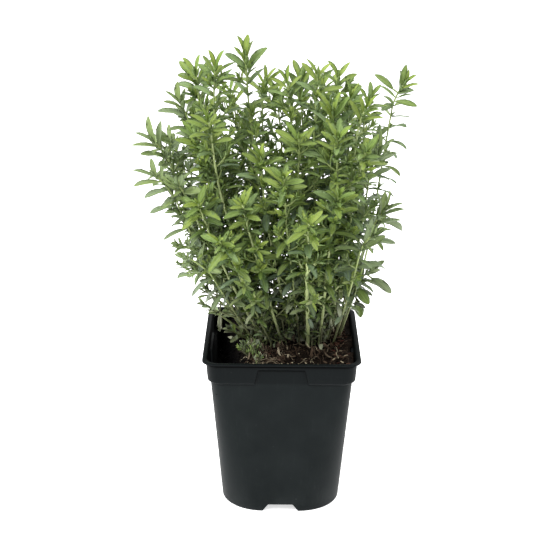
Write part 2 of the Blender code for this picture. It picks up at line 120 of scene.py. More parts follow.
# Compost: nearly full, but slumped away from the left wall
SOIL_TOP = 112.5 * MM
SOIL_FOOT = 7.5 * MM
SOIL_SLUMP = 20 * MM
SLUMP_FROM_X = -29 * MM
SLUMP_TO_X = -41 * MM
SLUMP_SLANT = 0.16
SOIL_LUMPS = 1.3 * MM
SOIL_BANK = 3.6 * MM
BANK_FROM_X = 27 * MM
BANK_TO_X = 46 * MM
SOIL_INSET = 1.4 * MM

# Clump: stems stand close together in the compost and fan out as they rise
CLUMP_FOOT = Vector((11, 16, 0)) * MM
CLUMP_HEAD = Vector((-5, 2, 0)) * MM
FOOT_SPREAD_X = 0.40
FOOT_SPREAD_Y = 0.27
LEAN_START = 115 * MM
FULL_SPREAD = 300 * MM
FAN_POWER = 1.6
SWAY = 1.3 * MM
SWAY_LENGTH_X = 23 * MM
SWAY_LENGTH_Y = 27 * MM
NOD_LENGTH = 20 * MM
ROOT_DEPTH = 12 * MM
STEM_RADIUS = 1.15 * MM
TIP_RADIUS = 0.55 * MM
STEM_POINT_GAP = 30 * MM

# Leaves: pairs crowd together in the bud and stand wider apart down the stem
LEAF_LENGTH = 18 * MM
LEAF_WIDTH_SHARE = 0.32
LENGTH_SPREAD = (0.84, 1.14)
WIDTH_SPREAD = (0.88, 1.15)
DROOP_SPREAD = (0.3, 1.4)
FIRST_PAIR = 1 * MM
BUD_GAP = 1.3 * MM
GAP_GROWTH = 1.35
WIDEST_GAP = 9 * MM
BARE_FOOT = 24 * MM
FULL_SIZE_BACK = 7 * MM
BUD_SIZE = 0.5
OLD_AGE = 0.45
OLD_SHRINK = 0.35

# Leaf posture in degrees: how far it opens from the stem and bends over, from bud to old
BUD_OPENING = 14
GROWN_OPENING = 60
OLD_OPENING = 14
OPENING_BACK = 17 * MM
OPENING_JITTER = 9
BUD_DROOP = 8
GROWN_DROOP = 42
DROOP_BACK = 30 * MM
TURN_JITTER = 12
SIDE_JITTER = 9

# Blade: its outline, which tapers long to the stalk and short to the blunt tip, and its fold
TAPER_IN = 0.95
TAPER_OUT = 0.74
SCENE_WIDTH = 0.93
PETIOLE_HALF = 0.45 * MM
BLADE_THICKNESS = 0.36 * MM
MIDRIB_DEPTH = 0.13 * MM
FOLD = (0.12, 0.5)
YOUNG_FOLD = 0.3
USUAL_TWIST = 20
MOST_WAVE = 0.12

# Side shoots and the tufts of tiny leaves in the axils
SHOOT_FROM = 12 * MM
SHOOT_SHARE = 0.42
SHOOT_LEAST = 7 * MM
SHOOT_MOST = 34 * MM
SHOOT_GROWTH = 0.35
SHOOT_ROOM = 8 * MM
SHOOT_OPENING = 55
SHOOT_STEPS = 5
SHOOT_LEAF = 0.66
SHOOT_BARE_FOOT = 3 * MM
SHOOT_RADIUS = 0.64 * MM
SHOOT_PALE = 0.2
TUFT_FROM = 7 * MM
TUFT_COUNTS = (3, 4, 5)
TUFT_LEAST = 4 * MM
TUFT_MOST = 9 * MM
TUFT_TURN = 55
TUFT_OPENING = (18, 62)
TUFT_WIDTH = (0.3, 0.44)
TUFT_DROOP = (5, 30)
TUFT_YOUTH = (0.35, 0.9)

# Near its tip a sprig opens like a star round a closed bud, with pairs of unlike size: the first of
# these where the first pair faces sideways, and the others where it faces the front
YOUNG_BACK = 26 * MM
STAR_REACH = 26 * MM
BUD_REACH = 4.5 * MM
BUD_CLOSING = 5
BUD_SIZES = (1.25, 0.5, 1.0, 0.55)
TURNED_BUD_SIZES = (0.6, 1.3, 0.5, 1.0)
WIDEST_OPENING = 105

# Low in the clump leaves are smaller, some are darkened with painted shade, and others are bleached
SMALL_LEAVES_BELOW = 170 * MM
SMALL_LEAVES_OVER = 50 * MM
SMALLEST_LEAF = 0.42
SHADE_BELOW = 190 * MM
SHADE_FULL = 135 * MM
SHADED_SHARE = 0.46
SHADED_BY = (0.45, 1)
BLEACHED_SHARE = 0.36
BLEACHED_BY = (0.2, 0.8)

# Weight of the light, against a leaf's own turn, where the leaves near a tip twist towards it. A leaf
# that faces away from the light by more than the cosine TURNED_AWAY shows it its underside.
LIGHT_SIDE = Vector((0, -0.75, 0.66))
LIGHT_TURN = 1.0
SLIGHT_TURN = 0.2
SLIGHTLY_TURNED = (30, 31, 32, 33, 34, 35, 36, 44, 45)
TURNED_AWAY = -0.3

# How a sprig differs: degrees that its top leaves open wider, and their size. It is drawn from the
# usual ranges, and given for these stems.
USUAL_WIDER = (-6, 20)
USUAL_SIZE = (0.97, 1.14)
SPRIG_LOOKS = {
    2: (-2, 1.12), 6: (14, 0.98), 7: (14, 0.98), 9: (10, 0.95), 10: (10, 0.95), 8: (14, 1.0),
    11: (4, 0.85), 17: (22, 1.0), 23: (24, 1.05), 24: (30, 1.0), 34: (16, 0.8), 35: (16, 0.8),
    27: (34, 1.0), 28: (20, 1.0), 25: (16, 1.0), 19: (26, 1.0), 14: (14, 1.1), 12: (12, 1.1),
    0: (6, 1.16), 1: (10, 1.16), 13: (14, 1.1), 16: (18, 1.06), 15: (16, 1.06), 18: (12, 1.1),
}

# Share of the axils with a side shoot, for the stems that differ: sparse ones stand apart
SHOOT_SHARES = {
    11: 0.08, 30: 0.1, 31: 0.06, 32: 0.04, 33: 0.0, 45: 0.08, 9: 0.2, 10: 0.15, 44: 0.12, 34: 0.06,
    35: 0.0, 36: 0.0, 46: 0.0, 47: 0.0, 2: 0.5, 38: 0.55, 0: 0.6, 1: 0.6, 12: 0.5, 13: 0.5, 18: 0.5,
}

# Share of the other axils with a tuft, for the stems through which the background shows
TUFT_SHARES = {
    34: 0.1, 35: 0.1, 36: 0.15, 46: 0.3, 31: 0.2, 32: 0.2, 30: 0.3, 45: 0.3, 33: 0.3, 9: 0.4, 10: 0.35,
    11: 0.4, 44: 0.35, 12: 0.4, 13: 0.4, 14: 0.4, 15: 0.3, 16: 0.3,
}

# Share of the leaves further back than KEPT_BACK that some stems have lost
LOST_SHARES = {34: 0.5, 35: 0.55, 36: 0.55, 31: 0.3, 32: 0.35, 45: 0.3, 30: 0.2, 15: 0.2, 46: 0.3}
KEPT_BACK = 9 * MM

# Over the hollow, left of OPEN_X and below OPEN_Z, this share is shed, but for a stem's first leaves
OPEN_X = -27 * MM
OPEN_Z = 147 * MM
OPEN_LOSS = 0.72
KEPT_LEAVES = 4

# Stems whose leaves are greyer and less yellow: those at both sides of the clump
GREY_STEMS = (12, 13, 14, 15, 16, 34, 30, 31, 32, 33, 45, 44)
GREY_TINT = 0.5
GREY_YOUTH = 0.7
GREY_PALE = 0.16

# Stems: their thickness as a share of the frame's, and how it thins upwards and swells at each pair.
# Those listed by number have a thickness of their own and stand out as pale.
STEM_THICKNESS = 0.66
STEM_SPREAD = (0.85, 1.15)
STEM_TAPER = 1.3
STEM_RING_GAP = 2.4 * MM
NODE_HALF = 1.8 * MM
NODE_SWELL = 0.25
THICK_STEMS = {
    24: 1.42, 9: 1.15, 26: 1.0, 36: 1.2, 17: 1.05, 18: 1.0, 28: 0.95, 29: 0.95, 19: 0.95, 15: 0.9,
}

# Large single leaves: stem, height of the root, tip (x, y, z), width, droop in degrees, paleness.
# They show their broad side to the light.
LONGEST_LEAF = 18 * MM
LONE_YOUTH = 0.1
LONE_LEAVES = (
    (31, 214, (83, -8, 202), 5.6, 75, 0.25), (33, 167, (77, -10, 156), 6.2, 70, 0.3),
    (33, 156, (62, -6, 146), 7.5, 30, 0.0), (11, 142, (57, 6, 131), 7.2, 20, 0.0),
    (36, 142, (-45, 10, 117.4), 3.6, 40, 1.0), (34, 181, (-74, -10, 166), 5.0, 35, 0.1),
    (11, 284, (65, 62, 297), 6.0, 25, 0.0), (11, 285, (88, 64, 304), 5.0, 15, 0.0),
    (11, 283, (93, 50, 288), 5.0, 30, 0.1), (11, 278, (96, 52, 276), 5.2, 40, 0.0),
    (11, 276, (70, 50, 273), 6.0, 45, 0.1),
)

# Forks: stem, height, direction (x, y, z), length, the bare foot's length and radius in millimetres
FORKS = (
    (24, 178, (-0.55, -0.1, 1), 17, 3, 0.8), (24, 179, (0.65, -0.1, 1), 16, 3, 0.8),
    (36, 115, (-0.64, -0.3, 0.62), 36, 25, 1.1), (26, 150, (0.7, -0.3, 1), 24, 3, 0.8),
    (9, 165, (-0.5, -0.5, 1), 26, 3, 0.8),
)
FORK_TIP_RADIUS = 0.5

# Young shoots in a low lobe at the left front and at the clump's foot: their places across and towards
# the back (least, most, likeliest) in millimetres, how far they lean to the right, the shares of their
# full length, leaf size and leaf roundness, and the share of fresh green ones
LOBE = {
    "x": (-25, -12), "y": (-38, 8, -24), "lean": 0.1, "length": 0.26, "size": (0.2, 0.36),
    "roundness": (1.0, 1.6), "fresh": 0.6,
}
FOOT = {
    "x": (-24, 35), "y": (-8, 34, 4), "lean": 0.55, "length": 1, "size": (0.3, 0.68),
    "roundness": (0.9, 1.5), "fresh": 0,
}
GROUND_SHOOTS = 92
LOBE_SHOOTS = 32
GROUND_LEAST = 10 * MM
GROUND_MOST = 44 * MM

# They grow upright from here to the right, and none grows in front of the thick pale stem
UPRIGHT_FROM_X = 14
THICK_STEM_X = 13
CLEAR_HALF = 5
CLEAR_TO_Y = 6

# Litter on the compost: bark chips, root fibres, dry leaves and a dry twig
CHIPS = 1500
CHIP_LEAST = (1.2 * MM, 0.6 * MM, 0.35 * MM)
CHIP_MOST = (5.5 * MM, 2.2 * MM, 1.0 * MM)
CHIP_RINGS = ((-0.7, 0.75), (0.05, 1), (0.75, 0.7))
CHIP_SIDES = 5
CHIP_JAGS = 0.22
STRAW_SHARES = (0.05, 0.11, 0.16)
STRAW_LONGEST = 3.4 * MM
RED_SHARES = (0.03, 0.5)
FIBRES = 230
FIBRE_KNOTS = 8
FIBRE_LEAST = 5 * MM
FIBRE_MOST = 22 * MM
DRY_LEAVES = 130
CURLED_LEAVES = 60
FALLEN_LEAF = (Vector((-40, 26, 107.2)) * MM, Vector((-32.8, 18, 108.6)) * MM)
FALLEN_WIDTH = 3.6 * MM
DRY_TWIG = (((42.8, 18, 117.2), (43.1, 27, 118.2), (41, 35, 119.8)), ((43.1, 26, 118), (45.5, 34, 119.6)))
LITTER_HALF = 46.3

# Tips of the stems in millimetres: across, towards the back, above the floor, then how
# far the last stretch nods across and towards the back. Left to right, top to bottom.
TIPS = (
    (-59, 10, 308, -2, 0), (-47, -15, 315, 1, -2), (-25, 5, 320, -1, 0), (-14, 40, 296, 2, 3),
    (3, 0, 303, -1, 0), (12, 28, 300, 0, 2), (22, -8, 312, 0, -2), (37, 15, 306, 1, 1),
    (44, -9, 297, 2, -3), (53, -28, 292, 3, -4), (61, 28, 287, 3, 2), (87, 60, 292, 7, 0),
    (-71, 1, 289, -6, 0), (-86, -20, 268, -7, -2), (-81, 34, 254, -4, 2), (-69, -41, 243, -2, -7),
    (-85, -29, 246, -9, 2), (-50, -40, 286, -1, -8), (-59, -22, 272, -2, -4), (-56, -53, 234, 0, -9),
    (9, -36, 274, -1, -6), (35, -46, 277, 0, -8), (33, -24, 290, -1, -4), (53, -44, 268, 2, -6),
    (16, -64, 225, 0, -12), (0, -56, 252, -1, -9), (35, -54, 240, 1, -9), (-41, -63, 211, -3, -12),
    (-26, -53, 234, 0, -8), (-15, -38, 262, 0, -6), (67, 9, 253, 4, 1), (70, -21, 221, 6, -1),
    (65, 18, 199, 3, 0), (63, -1, 170, 9, -1), (-64, -45, 194, -9, -5), (-64, 14, 168, -8, 0),
    (-54, 5, 150, -8, -2), (-38, 50, 286, -2, 3), (-58, 44, 279, -3, 3), (-4, 62, 283, 0, 4),
    (27, 50, 290, 2, 3), (48, 56, 272, 4, 4), (-26, 61, 262, -1, 6), (10, 60, 262, 1, 6),
    (66, 42, 254, 5, 3), (60, -48, 212, 6, -6), (-31, 14, 132, -4, 0), (-17, -2, 127, -2, -3),
)


class Value:
    """A socket of a material. Arithmetic on it adds Math nodes."""

    def __init__(self, paint, socket):
        self.paint = paint
        self.socket = socket

    def math(self, operation, *terms):
        return self.paint.add("ShaderNodeMath", {"operation": operation}, dict(enumerate(terms)))

    def __add__(self, other):
        return self.math("ADD", self, other)

    def __sub__(self, other):
        return self.math("SUBTRACT", self, other)

    def __rsub__(self, other):
        return self.math("SUBTRACT", other, self)

    def __mul__(self, other):
        return self.math("MULTIPLY", self, other)

    def __pow__(self, other):
        return self.math("POWER", self, other)

    def __abs__(self):
        return self.math("ABSOLUTE", self)

    __radd__ = __add__
    __rmul__ = __mul__

    def sine(self):
        return self.math("SINE", self)

    def rise(self, low, high):
        """0 below low, 1 above high, and a smooth step between them."""
        settings = {"interpolation_type": "SMOOTHSTEP"}
        return self.paint.add("ShaderNodeMapRange", settings, {"Value": self, 1: low, 2: high})


class Paint:
    """The nodes of one material. Colours are given as red, green and blue."""

    def __init__(self, name):
        self.material = bpy.data.materials.new(name)
        self.material.use_nodes = True
        self.tree = self.material.node_tree
        self.tree.nodes.clear()

    def add(self, kind, settings=None, inputs=None, output=0):
        """A node of this kind: its settings first, then the values or links of its sockets."""
        node = self.tree.nodes.new(kind)
        for name, value in (settings or {}).items():
            setattr(node, name, value)
        for key, value in (inputs or {}).items():
            socket = node.inputs[key]
            if isinstance(value, Value):
                self.tree.links.new(value.socket, socket)
            else:
                socket.default_value = (*value, 1) if socket.type == "RGBA" else value
        return Value(self, node.outputs[output])

    def place(self):
        """The point on the surface in metres."""
        return self.add("ShaderNodeTexCoord", output="Object")

    def part(self, vector, axis):
        """One coordinate of a vector."""
        return self.add("ShaderNodeSeparateXYZ", None, {0: vector}, axis)

    def stretched(self, vector, factors):
        """A vector with each coordinate multiplied, which stretches a pattern the other way."""
        return self.add("ShaderNodeVectorMath", {"operation": "MULTIPLY"}, {0: vector, 1: factors})

    def noise(self, vector, grain, detail=3, roughness=0.55):
        """Cloudy noise from 0 to 1, with spots of about this size in metres."""
        inputs = {"Vector": vector, "Scale": 1 / grain, "Detail": detail, "Roughness": roughness}
        return self.add("ShaderNodeTexNoise", None, inputs)

    def cells(self, vector, grain):
        """Distance from the middle of the nearest cell, for cells of about this size."""
        return self.add("ShaderNodeTexVoronoi", None, {"Vector": vector, "Scale": 1 / grain})

    def attribute(self, name):
        """A number kept at each point of the mesh."""
        return self.add("ShaderNodeAttribute", {"attribute_name": name}, output="Fac")

    def blend(self, share, first, second):
        """The first colour where the share is 0, the second where it is 1."""
        inputs = {0: share, 6: first, 7: second}
        return self.add("ShaderNodeMix", {"data_type": "RGBA"}, inputs, 2)

    def bump(self, height, depth, strength=1.0):
        """A normal that shows a height from 0 to 1 as a relief of this depth in metres."""
        inputs = {"Height": height, "Distance": depth, "Strength": strength}
        return self.add("ShaderNodeBump", None, inputs)

    def finish(self, shader):
        """Ends the material with this shader and gives the material back."""
        node = self.tree.nodes.new("ShaderNodeOutputMaterial")
        self.tree.links.new(shader.socket, node.inputs["Surface"])
        return self.material

    def principled(self, colour, roughness, normal=None, **constants):
        """A Principled shader. The constants are its other sockets, by name with underscores."""
        inputs = {"Base Color": colour, "Roughness": roughness}
        if normal:
            inputs["Normal"] = normal
        for name, value in constants.items():
            inputs[name.replace("_", " ")] = value
        return self.add("ShaderNodeBsdfPrincipled", None, inputs)


def leaf_paint():
    """Savory leaf: yellow-green when young, blue-green when old, with a pale midrib.

    Reads the blade's own map, across and along, the attributes youth, tint, under and pale, and one of
    painted shade.
    """
    paint = Paint("savory_leaf")
    blade = paint.add("ShaderNodeUVMap", {"uv_map": "blade"})
    out = abs(paint.part(blade, "X") * 2 - 1)
    along = paint.part(blade, "Y")
    youth = paint.attribute("youth")
    tint = paint.attribute("tint")
    under = paint.attribute("under")
    mottle = paint.noise(paint.place(), 2.2 * MM)
    grown = paint.blend(tint.rise(0.2, 1), (0.110, 0.172, 0.074), (0.205, 0.275, 0.070))
    grown = paint.blend(tint.rise(0.14, 0.36), (0.200, 0.268, 0.198), grown)
    young = paint.blend(tint.rise(0, 1), (0.235, 0.345, 0.062), (0.370, 0.465, 0.085))
    top = paint.blend(youth, grown, young)
    top = paint.blend(mottle.rise(0.35, 0.75) * 0.3, top, (0.060, 0.120, 0.030))
    rib = (1 - out.rise(0.03, 0.18)) * (1 - along.rise(0.7, 1))
    veins = ((along * 62 - out * 13).sine() * 0.5 + 0.5) ** 3 * out.rise(0.1, 0.3)
    top = paint.blend(rib * 0.55 + veins * 0.1, top, (0.330, 0.450, 0.160))
    # Dark margins: partly the leaf's own darker edge, partly painted shade that sets overlapping leaves
    # apart
    top = paint.blend(out.rise(0.62, 1) * 0.55, top, (0.030, 0.066, 0.016))
    bottom = paint.blend(youth, (0.165, 0.230, 0.150), (0.250, 0.360, 0.120))
    bottom = paint.blend(rib * 0.6, bottom, (0.330, 0.400, 0.200))
    bottom = paint.blend(out.rise(0.7, 1) * 0.3, bottom, (0.050, 0.075, 0.050))
    colour = paint.blend(under, top, bottom)
    colour = paint.blend(paint.attribute("pale"), colour, (0.450, 0.455, 0.330))
    # Leaves low in the clump are darkened towards near black and pass less light: painted shade
    dull = paint.attribute("dull")
    colour = paint.blend(dull * 0.96, colour, (0.019, 0.018, 0.010))
    glands = paint.cells(paint.place(), 0.55 * MM).rise(0.0, 0.35)
    relief = glands * 0.35 - rib * 0.5 - veins * 0.3
    shader = paint.principled(
        colour, 0.40 + under * 0.2 + mottle * 0.12, paint.bump(relief, 0.12 * MM, 0.6),
        Specular_IOR_Level=0.26,
    )
    glow = paint.add("ShaderNodeBsdfTranslucent", None, {"Color": (0.34, 0.47, 0.12)})
    through = (1 - dull) * 0.24
    return paint.finish(paint.add("ShaderNodeMixShader", None, {0: through, 1: shader, 2: glow}))


def stem_paint():
    """Stem: woody and beige at the foot, yellow-green above, finely ribbed.

    The attribute pale is 1 on the stems that show pale down to the foot.
    """
    paint = Paint("savory_stem")
    place = paint.place()
    height = paint.part(place, "Z")
    woody = 1 - height.rise(116 * MM, 185 * MM)
    streaks = paint.noise(paint.stretched(place, (1, 1, 0.12)), 1.1 * MM)
    patches = paint.noise(place, 9 * MM)
    green = paint.blend(patches, (0.230, 0.330, 0.085), (0.390, 0.460, 0.170))
    wood = paint.blend(streaks.rise(0.3, 0.7), (0.090, 0.078, 0.046), (0.250, 0.240, 0.140))
    pale = paint.attribute("pale")
    colour = paint.blend(woody * (0.95 - pale * 0.7), green, wood)
    colour = paint.blend(pale.rise(0.8, 1) * 0.3, colour, (0.500, 0.540, 0.300))
    # Stems other than the pale ones are darkened, most at the foot: painted shade among the leaves
    colour = paint.blend((1 - pale) * (0.3 + woody * 0.45), colour, (0.050, 0.055, 0.026))
    shader = paint.principled(colour, 0.5 + woody * 0.25, paint.bump(streaks, 0.15 * MM, 0.8))
    return paint.finish(shader)


def plastic_paint():
    """Black moulded plastic with a satin grain, a little dust, worn edges, and painted light and shade.

    One attribute marks the worn edges and a painted highlight on the lip and the relief's edges. The
    other is painted shade under the lip, along the gaps and inside the wall.
    """
    paint = Paint("black_plastic_finish")
    place = paint.place()
    clouds = paint.noise(place, 26 * MM, 4)
    grain = paint.noise(place, 0.45 * MM, 2)
    streaks = paint.noise(paint.stretched(place, (1, 1, 0.05)), 1.4 * MM)
    specks = 1 - paint.cells(place, 9 * MM).rise(0.03, 0.075)
    height = paint.part(place, "Z")
    rubbed = paint.attribute("rubbed")
    crease = paint.attribute("crease")
    colour = paint.blend(clouds.rise(0.3, 0.7), (0.0050, 0.0070, 0.0074), (0.0074, 0.0098, 0.0102))
    # The band is painted darker than the wall below: painted shade, as the band faces a little downwards
    band = height.rise(102.5 * MM, 104 * MM)
    colour = paint.blend(band * 0.9, colour, (0.0030, 0.0044, 0.0048))
    dust = (1 - height.rise(0, 22 * MM)) * 0.12 + streaks.rise(0.55, 0.8) * 0.07 + specks * 0.3
    colour = paint.blend(dust * clouds.rise(0.25, 0.65), colour, (0.052, 0.058, 0.058))
    # Worn edges and painted highlights are lighter; painted shade under the lip, at the gaps and inside is
    # near black
    colour = paint.blend(rubbed * 0.35, colour, (0.060, 0.066, 0.072))
    colour = paint.blend(crease, colour, (0.0001, 0.0002, 0.0002))
    roughness = 0.40 + clouds * 0.10 + grain * 0.08 - rubbed * 0.08 + crease * 0.45
    normal = paint.bump(grain * 0.6 + streaks * 0.4, 0.06 * MM, 0.5)
    return paint.finish(paint.principled(colour, roughness, normal, Specular_IOR_Level=0.06))


def compost_paint():
    """Moist peat compost: brown-black crumbs with a few tan fibres, and painted shade, near black, in the
    hollow at the left wall.
    """
    paint = Paint("compost_finish")
    place = paint.place()
    crumbs = paint.noise(place, 2.4 * MM, 6, 0.7)
    patches = paint.noise(place, 11 * MM)
    fibres = paint.noise(paint.stretched(place, (0.25, 1, 1)), 0.8 * MM, 4)
    slant = paint.part(place, "X") + paint.part(place, "Y") * SLUMP_SLANT
    # Left of the slump's edge the compost is painted almost black: painted shade in the hollow
    hollow = 1 - slant.rise(SLUMP_TO_X + 5 * MM, SLUMP_FROM_X + 4 * MM)
    colour = paint.blend(crumbs.rise(0.35, 0.7), (0.0022, 0.0016, 0.0012), (0.016, 0.0105, 0.0072))
    colour = paint.blend(fibres.rise(0.62, 0.72) * patches.rise(0.4, 0.6), colour, (0.085, 0.060, 0.038))
    colour = paint.blend(hollow * 0.95, colour, (0.0008, 0.0007, 0.0009))
    normal = paint.bump(crumbs, 1.2 * MM, 1)
    return paint.finish(paint.principled(colour, 0.95, normal, Specular_IOR_Level=0.05))


def litter_paint():
    """Bark chips, root fibres and dry leaves.

    The attribute tone runs from black-brown through tan to straw, red is for reddish bark, and a third
    attribute paints shade, near black, on what lies in the hollow.
    """
    paint = Paint("litter_finish")
    place = paint.place()
    tone = paint.attribute("tone")
    red = paint.attribute("red")
    grain = paint.noise(place, 0.7 * MM, 4)
    colour = paint.blend(tone.rise(0, 0.55), (0.0042, 0.0029, 0.0022), (0.074, 0.050, 0.033))
    colour = paint.blend(tone.rise(0.5, 1), colour, (0.400, 0.345, 0.240))
    colour = paint.blend(red, colour, (0.060, 0.017, 0.012))
    colour = paint.blend(grain.rise(0.4, 0.75) * 0.5, colour, (0.020, 0.012, 0.008))
    colour = paint.blend(paint.attribute("deep") * 0.95, colour, (0.0012, 0.0010, 0.0012))
    normal = paint.bump(grain, 0.3 * MM, 1)
    return paint.finish(paint.principled(colour, 0.85, normal, Specular_IOR_Level=0.06))


def floor_paint():
    """Plain white studio floor."""
    paint = Paint("studio_floor")
    haze = paint.noise(paint.place(), 0.4)
    colour = paint.blend(haze, (0.93, 0.93, 0.93), (0.96, 0.96, 0.96))
    glow = {"Emission_Color": (1, 1, 1), "Emission_Strength": FLOOR_GLOW}
    return paint.finish(paint.principled(colour, 0.9, Specular_IOR_Level=0.1, **glow))


def add_object(name, data):
    """An object in the scene with this mesh, curve, camera or light."""
    made = bpy.data.objects.new(name, data)
    bpy.context.scene.collection.objects.link(made)
    return made


def put_mesh(name, points, faces, material, uv=None, second=None, smooth=True, **attributes):
    """A piece from points and faces, both as arrays, with numbers kept at its points.

    second is another material and the number of the face where it begins.
    """
    mesh = bpy.data.meshes.new(name)
    mesh.vertices.add(len(points))
    mesh.vertices.foreach_set("co", np.asarray(points, np.float32).ravel())
    mesh.loops.add(faces.size)
    mesh.polygons.add(len(faces))
    mesh.polygons.foreach_set("loop_start", np.arange(0, faces.size, faces.shape[1]))
    mesh.polygons.foreach_set("vertices", faces.ravel())
    mesh.materials.append(material)
    if second:
        mesh.materials.append(second[0])
        index = (np.arange(len(faces)) >= second[1]).astype(np.int32)
        mesh.polygons.foreach_set("material_index", index)
    mesh.update(calc_edges=True)
    if smooth:
        mesh.shade_smooth()
    for key, values in attributes.items():
        layer = mesh.attributes.new(key, "FLOAT", "POINT")
        layer.data.foreach_set("value", np.asarray(values, np.float32).ravel())
    if uv is not None:
        layer = mesh.uv_layers.new(name="blade")
        layer.data.foreach_set("uv", np.asarray(uv, np.float32)[faces.ravel()].ravel())
    return add_object(name, mesh)


def triangles(quads):
    """Each quad as two triangles."""
    return np.concatenate([quads[:, (0, 1, 2)], quads[:, (0, 2, 3)]])


def capped(rows, sides):
    """Quads over rings of points, and triangles that close the first and last ring at two poles.

    The poles are the points after the rings. The faces look outwards where each ring runs
    anticlockwise, seen from the last one, and are turned round by the caller where it doesn't.
    """
    number = np.arange(rows * sides).reshape(rows, sides)
    after = np.roll(number, -1, 1)
    quads = np.stack([number[:-1], after[:-1], after[1:], number[1:]], -1).reshape(-1, 4)
    foot = np.stack([after[0], number[0], np.full(sides, rows * sides)], -1)
    head = np.stack([number[-1], after[-1], np.full(sides, rows * sides + 1)], -1)
    return quads, np.concatenate([foot, head])


def repeated(faces, points, count):
    """The faces of this many like surfaces, whose points follow each other."""
    return (faces[None] + points * np.arange(count)[:, None, None]).reshape(-1, 3)


def unit(vectors):
    """The vectors at length 1."""
    return vectors / np.linalg.norm(vectors, axis=1, keepdims=True)


def ease(values, low, high):
    """0 below low, 1 above high, and a smooth step between them."""
    share = np.clip((values - low) / (high - low), 0, 1)
    return share * share * (3 - 2 * share)


def lumps(x, y, size, seed):
    """Smooth random lumps from -1 to 1: random heights on a lattice of this size, eased between."""
    table = np.random.default_rng(seed).uniform(-1, 1, (64, 64))
    column, row = np.floor(x / size).astype(int), np.floor(y / size).astype(int)
    across, up = ease(x / size - column, 0, 1), ease(y / size - row, 0, 1)
    near = table[column % 64, row % 64] * (1 - across) + table[(column + 1) % 64, row % 64] * across
    far = table[column % 64, (row + 1) % 64] * (1 - across)
    far = far + table[(column + 1) % 64, (row + 1) % 64] * across
    return near * (1 - up) + far * up


def wall_half(z):
    """Half the outer width of the tapered wall at these heights."""
    return (BASE_WIDTH + (BAND_FOOT_WIDTH - BASE_WIDTH) * z / BAND_FOOT) / 2


def wall_corner(z):
    """Corner radius of the wall: wide at the foot, tight from the band up."""
    return BASE_CORNER + (BAND_CORNER - BASE_CORNER) * np.minimum(z / BAND_FOOT, 1)


def band_half(z):
    """Half the outer width of the shoulder band, which leans out up to the lip."""
    foot = BAND_FOOT_WIDTH / 2 + BAND_STEP
    head = LIP_WIDTH / 2 - LIP_OVERHANG
    return foot + (head - foot) * (z - BAND_FOOT) / (POT_HEIGHT - BAND_FOOT)


def pot_profile():
    """The wall's section as rows of height, half width, corner, relief, wear with painted highlight, and
    painted shade.

    It runs up the outside, over the rolled lip, and down the inside to the foot again. The relief
    is how much of the half width is the band's, which the gap in each side takes away.
    """
    rows = []

    def outside(z, share=0.0, rubbed=0.0, crease=0.0):
        relief = share * (band_half(z) - wall_half(z))
        rows.append((z, wall_half(z) + relief, wall_corner(z), relief, rubbed, crease))

    # Inside, the wall is painted darker: painted shade
    def inside(z, share=0.0):
        relief = share * (band_half(z) - wall_half(z))
        rows.append((z, wall_half(z) - WALL + relief, wall_corner(z) - WALL, relief, 0.0, 0.85))

    def lip(half, z, rubbed, crease=0.0):
        rows.append((z, half, BAND_CORNER, 0.0, rubbed, crease))

    for z, inset in ((0, 0.35), (0.1, 0.1), (0.35, 0)):
        rows.append((z * MM, wall_half(0) - inset * MM, BASE_CORNER - inset * MM, 0.0, 0.6, 0.0))
    for z in (1.5, 3, 5, 8, 12, 20, 30, 40, 50, 60, 70, 80, 90, 97, 101, 101.7):
        outside(z * MM)
    # At the band's foot: painted shade under the step, then wear with a painted highlight on its edge
    for z, share, rubbed, crease in (
        (102.1, 0, 0, 0.15), (102.5, 0, 0, 0.5), (102.94, 0.12, 0, 0.6), (103, 0.3, 0, 0.3),
        (103.12, 0.44, 0.3, 0), (103.4, 0.62, 0.35, 0), (103.75, 0.82, 0.25, 0), (104.15, 0.95, 0.1, 0),
    ):
        outside(z * MM, share, rubbed, crease)
    for z in (104.7, 107, 110, 112.5, 113.8, 114.1, 114.3, 114.5, 114.7, 114.9, 115.3):
        outside(z * MM, 1)
    # Under the lip the wall is painted black: painted shade
    for z, crease in ((116.2, 0.1), (116.7, 0.8), (117.1, 1), (117.7, 1)):
        outside(z * MM, 1, 0, crease)
    bead = LIP_DEPTH / 2
    bead_middle = LIP_WIDTH / 2 - bead
    lip(bead_middle - 0.9 * MM, POT_HEIGHT - LIP_DEPTH - 0.15 * MM, 0, 1)
    # Round the bead: wear and a painted highlight on top, painted shade underneath
    for angle in np.radians(np.arange(-90, 91, 18)):
        rubbed = 0.2 + 0.8 * max(math.sin(angle), 0)
        half, z = bead_middle + bead * math.cos(angle), POT_HEIGHT - bead + bead * math.sin(angle)
        lip(half, z, rubbed, clamp(-math.sin(angle)))
    inner = band_half(POT_HEIGHT) - WALL
    # Over the inner edge the painted highlight fades into painted shade
    for out, drop in ((1.5, 0.05), (0.9, 0.16), (0.45, 0.4), (0.15, 0.75), (0, 1.3)):
        lip(inner + out * MM, POT_HEIGHT - drop * MM, 0.8 - 0.6 * drop, 0.6 * drop)
    for z in (118, 117, 116, 115.3, 115, 114.8, 114.6, 114.4, 114.2, 114, 113, 110, 107, 105.8):
        inside(z * MM, 1)
    for z, share in ((105.4, 0.8), (105.1, 0.3)):
        inside(z * MM, share)
    for z in (104.9, 103, 90, 70, 50, 30, 12, 8, 5, 3, 1.5, 0.4):
        inside(z * MM)
    return np.array(rows).T


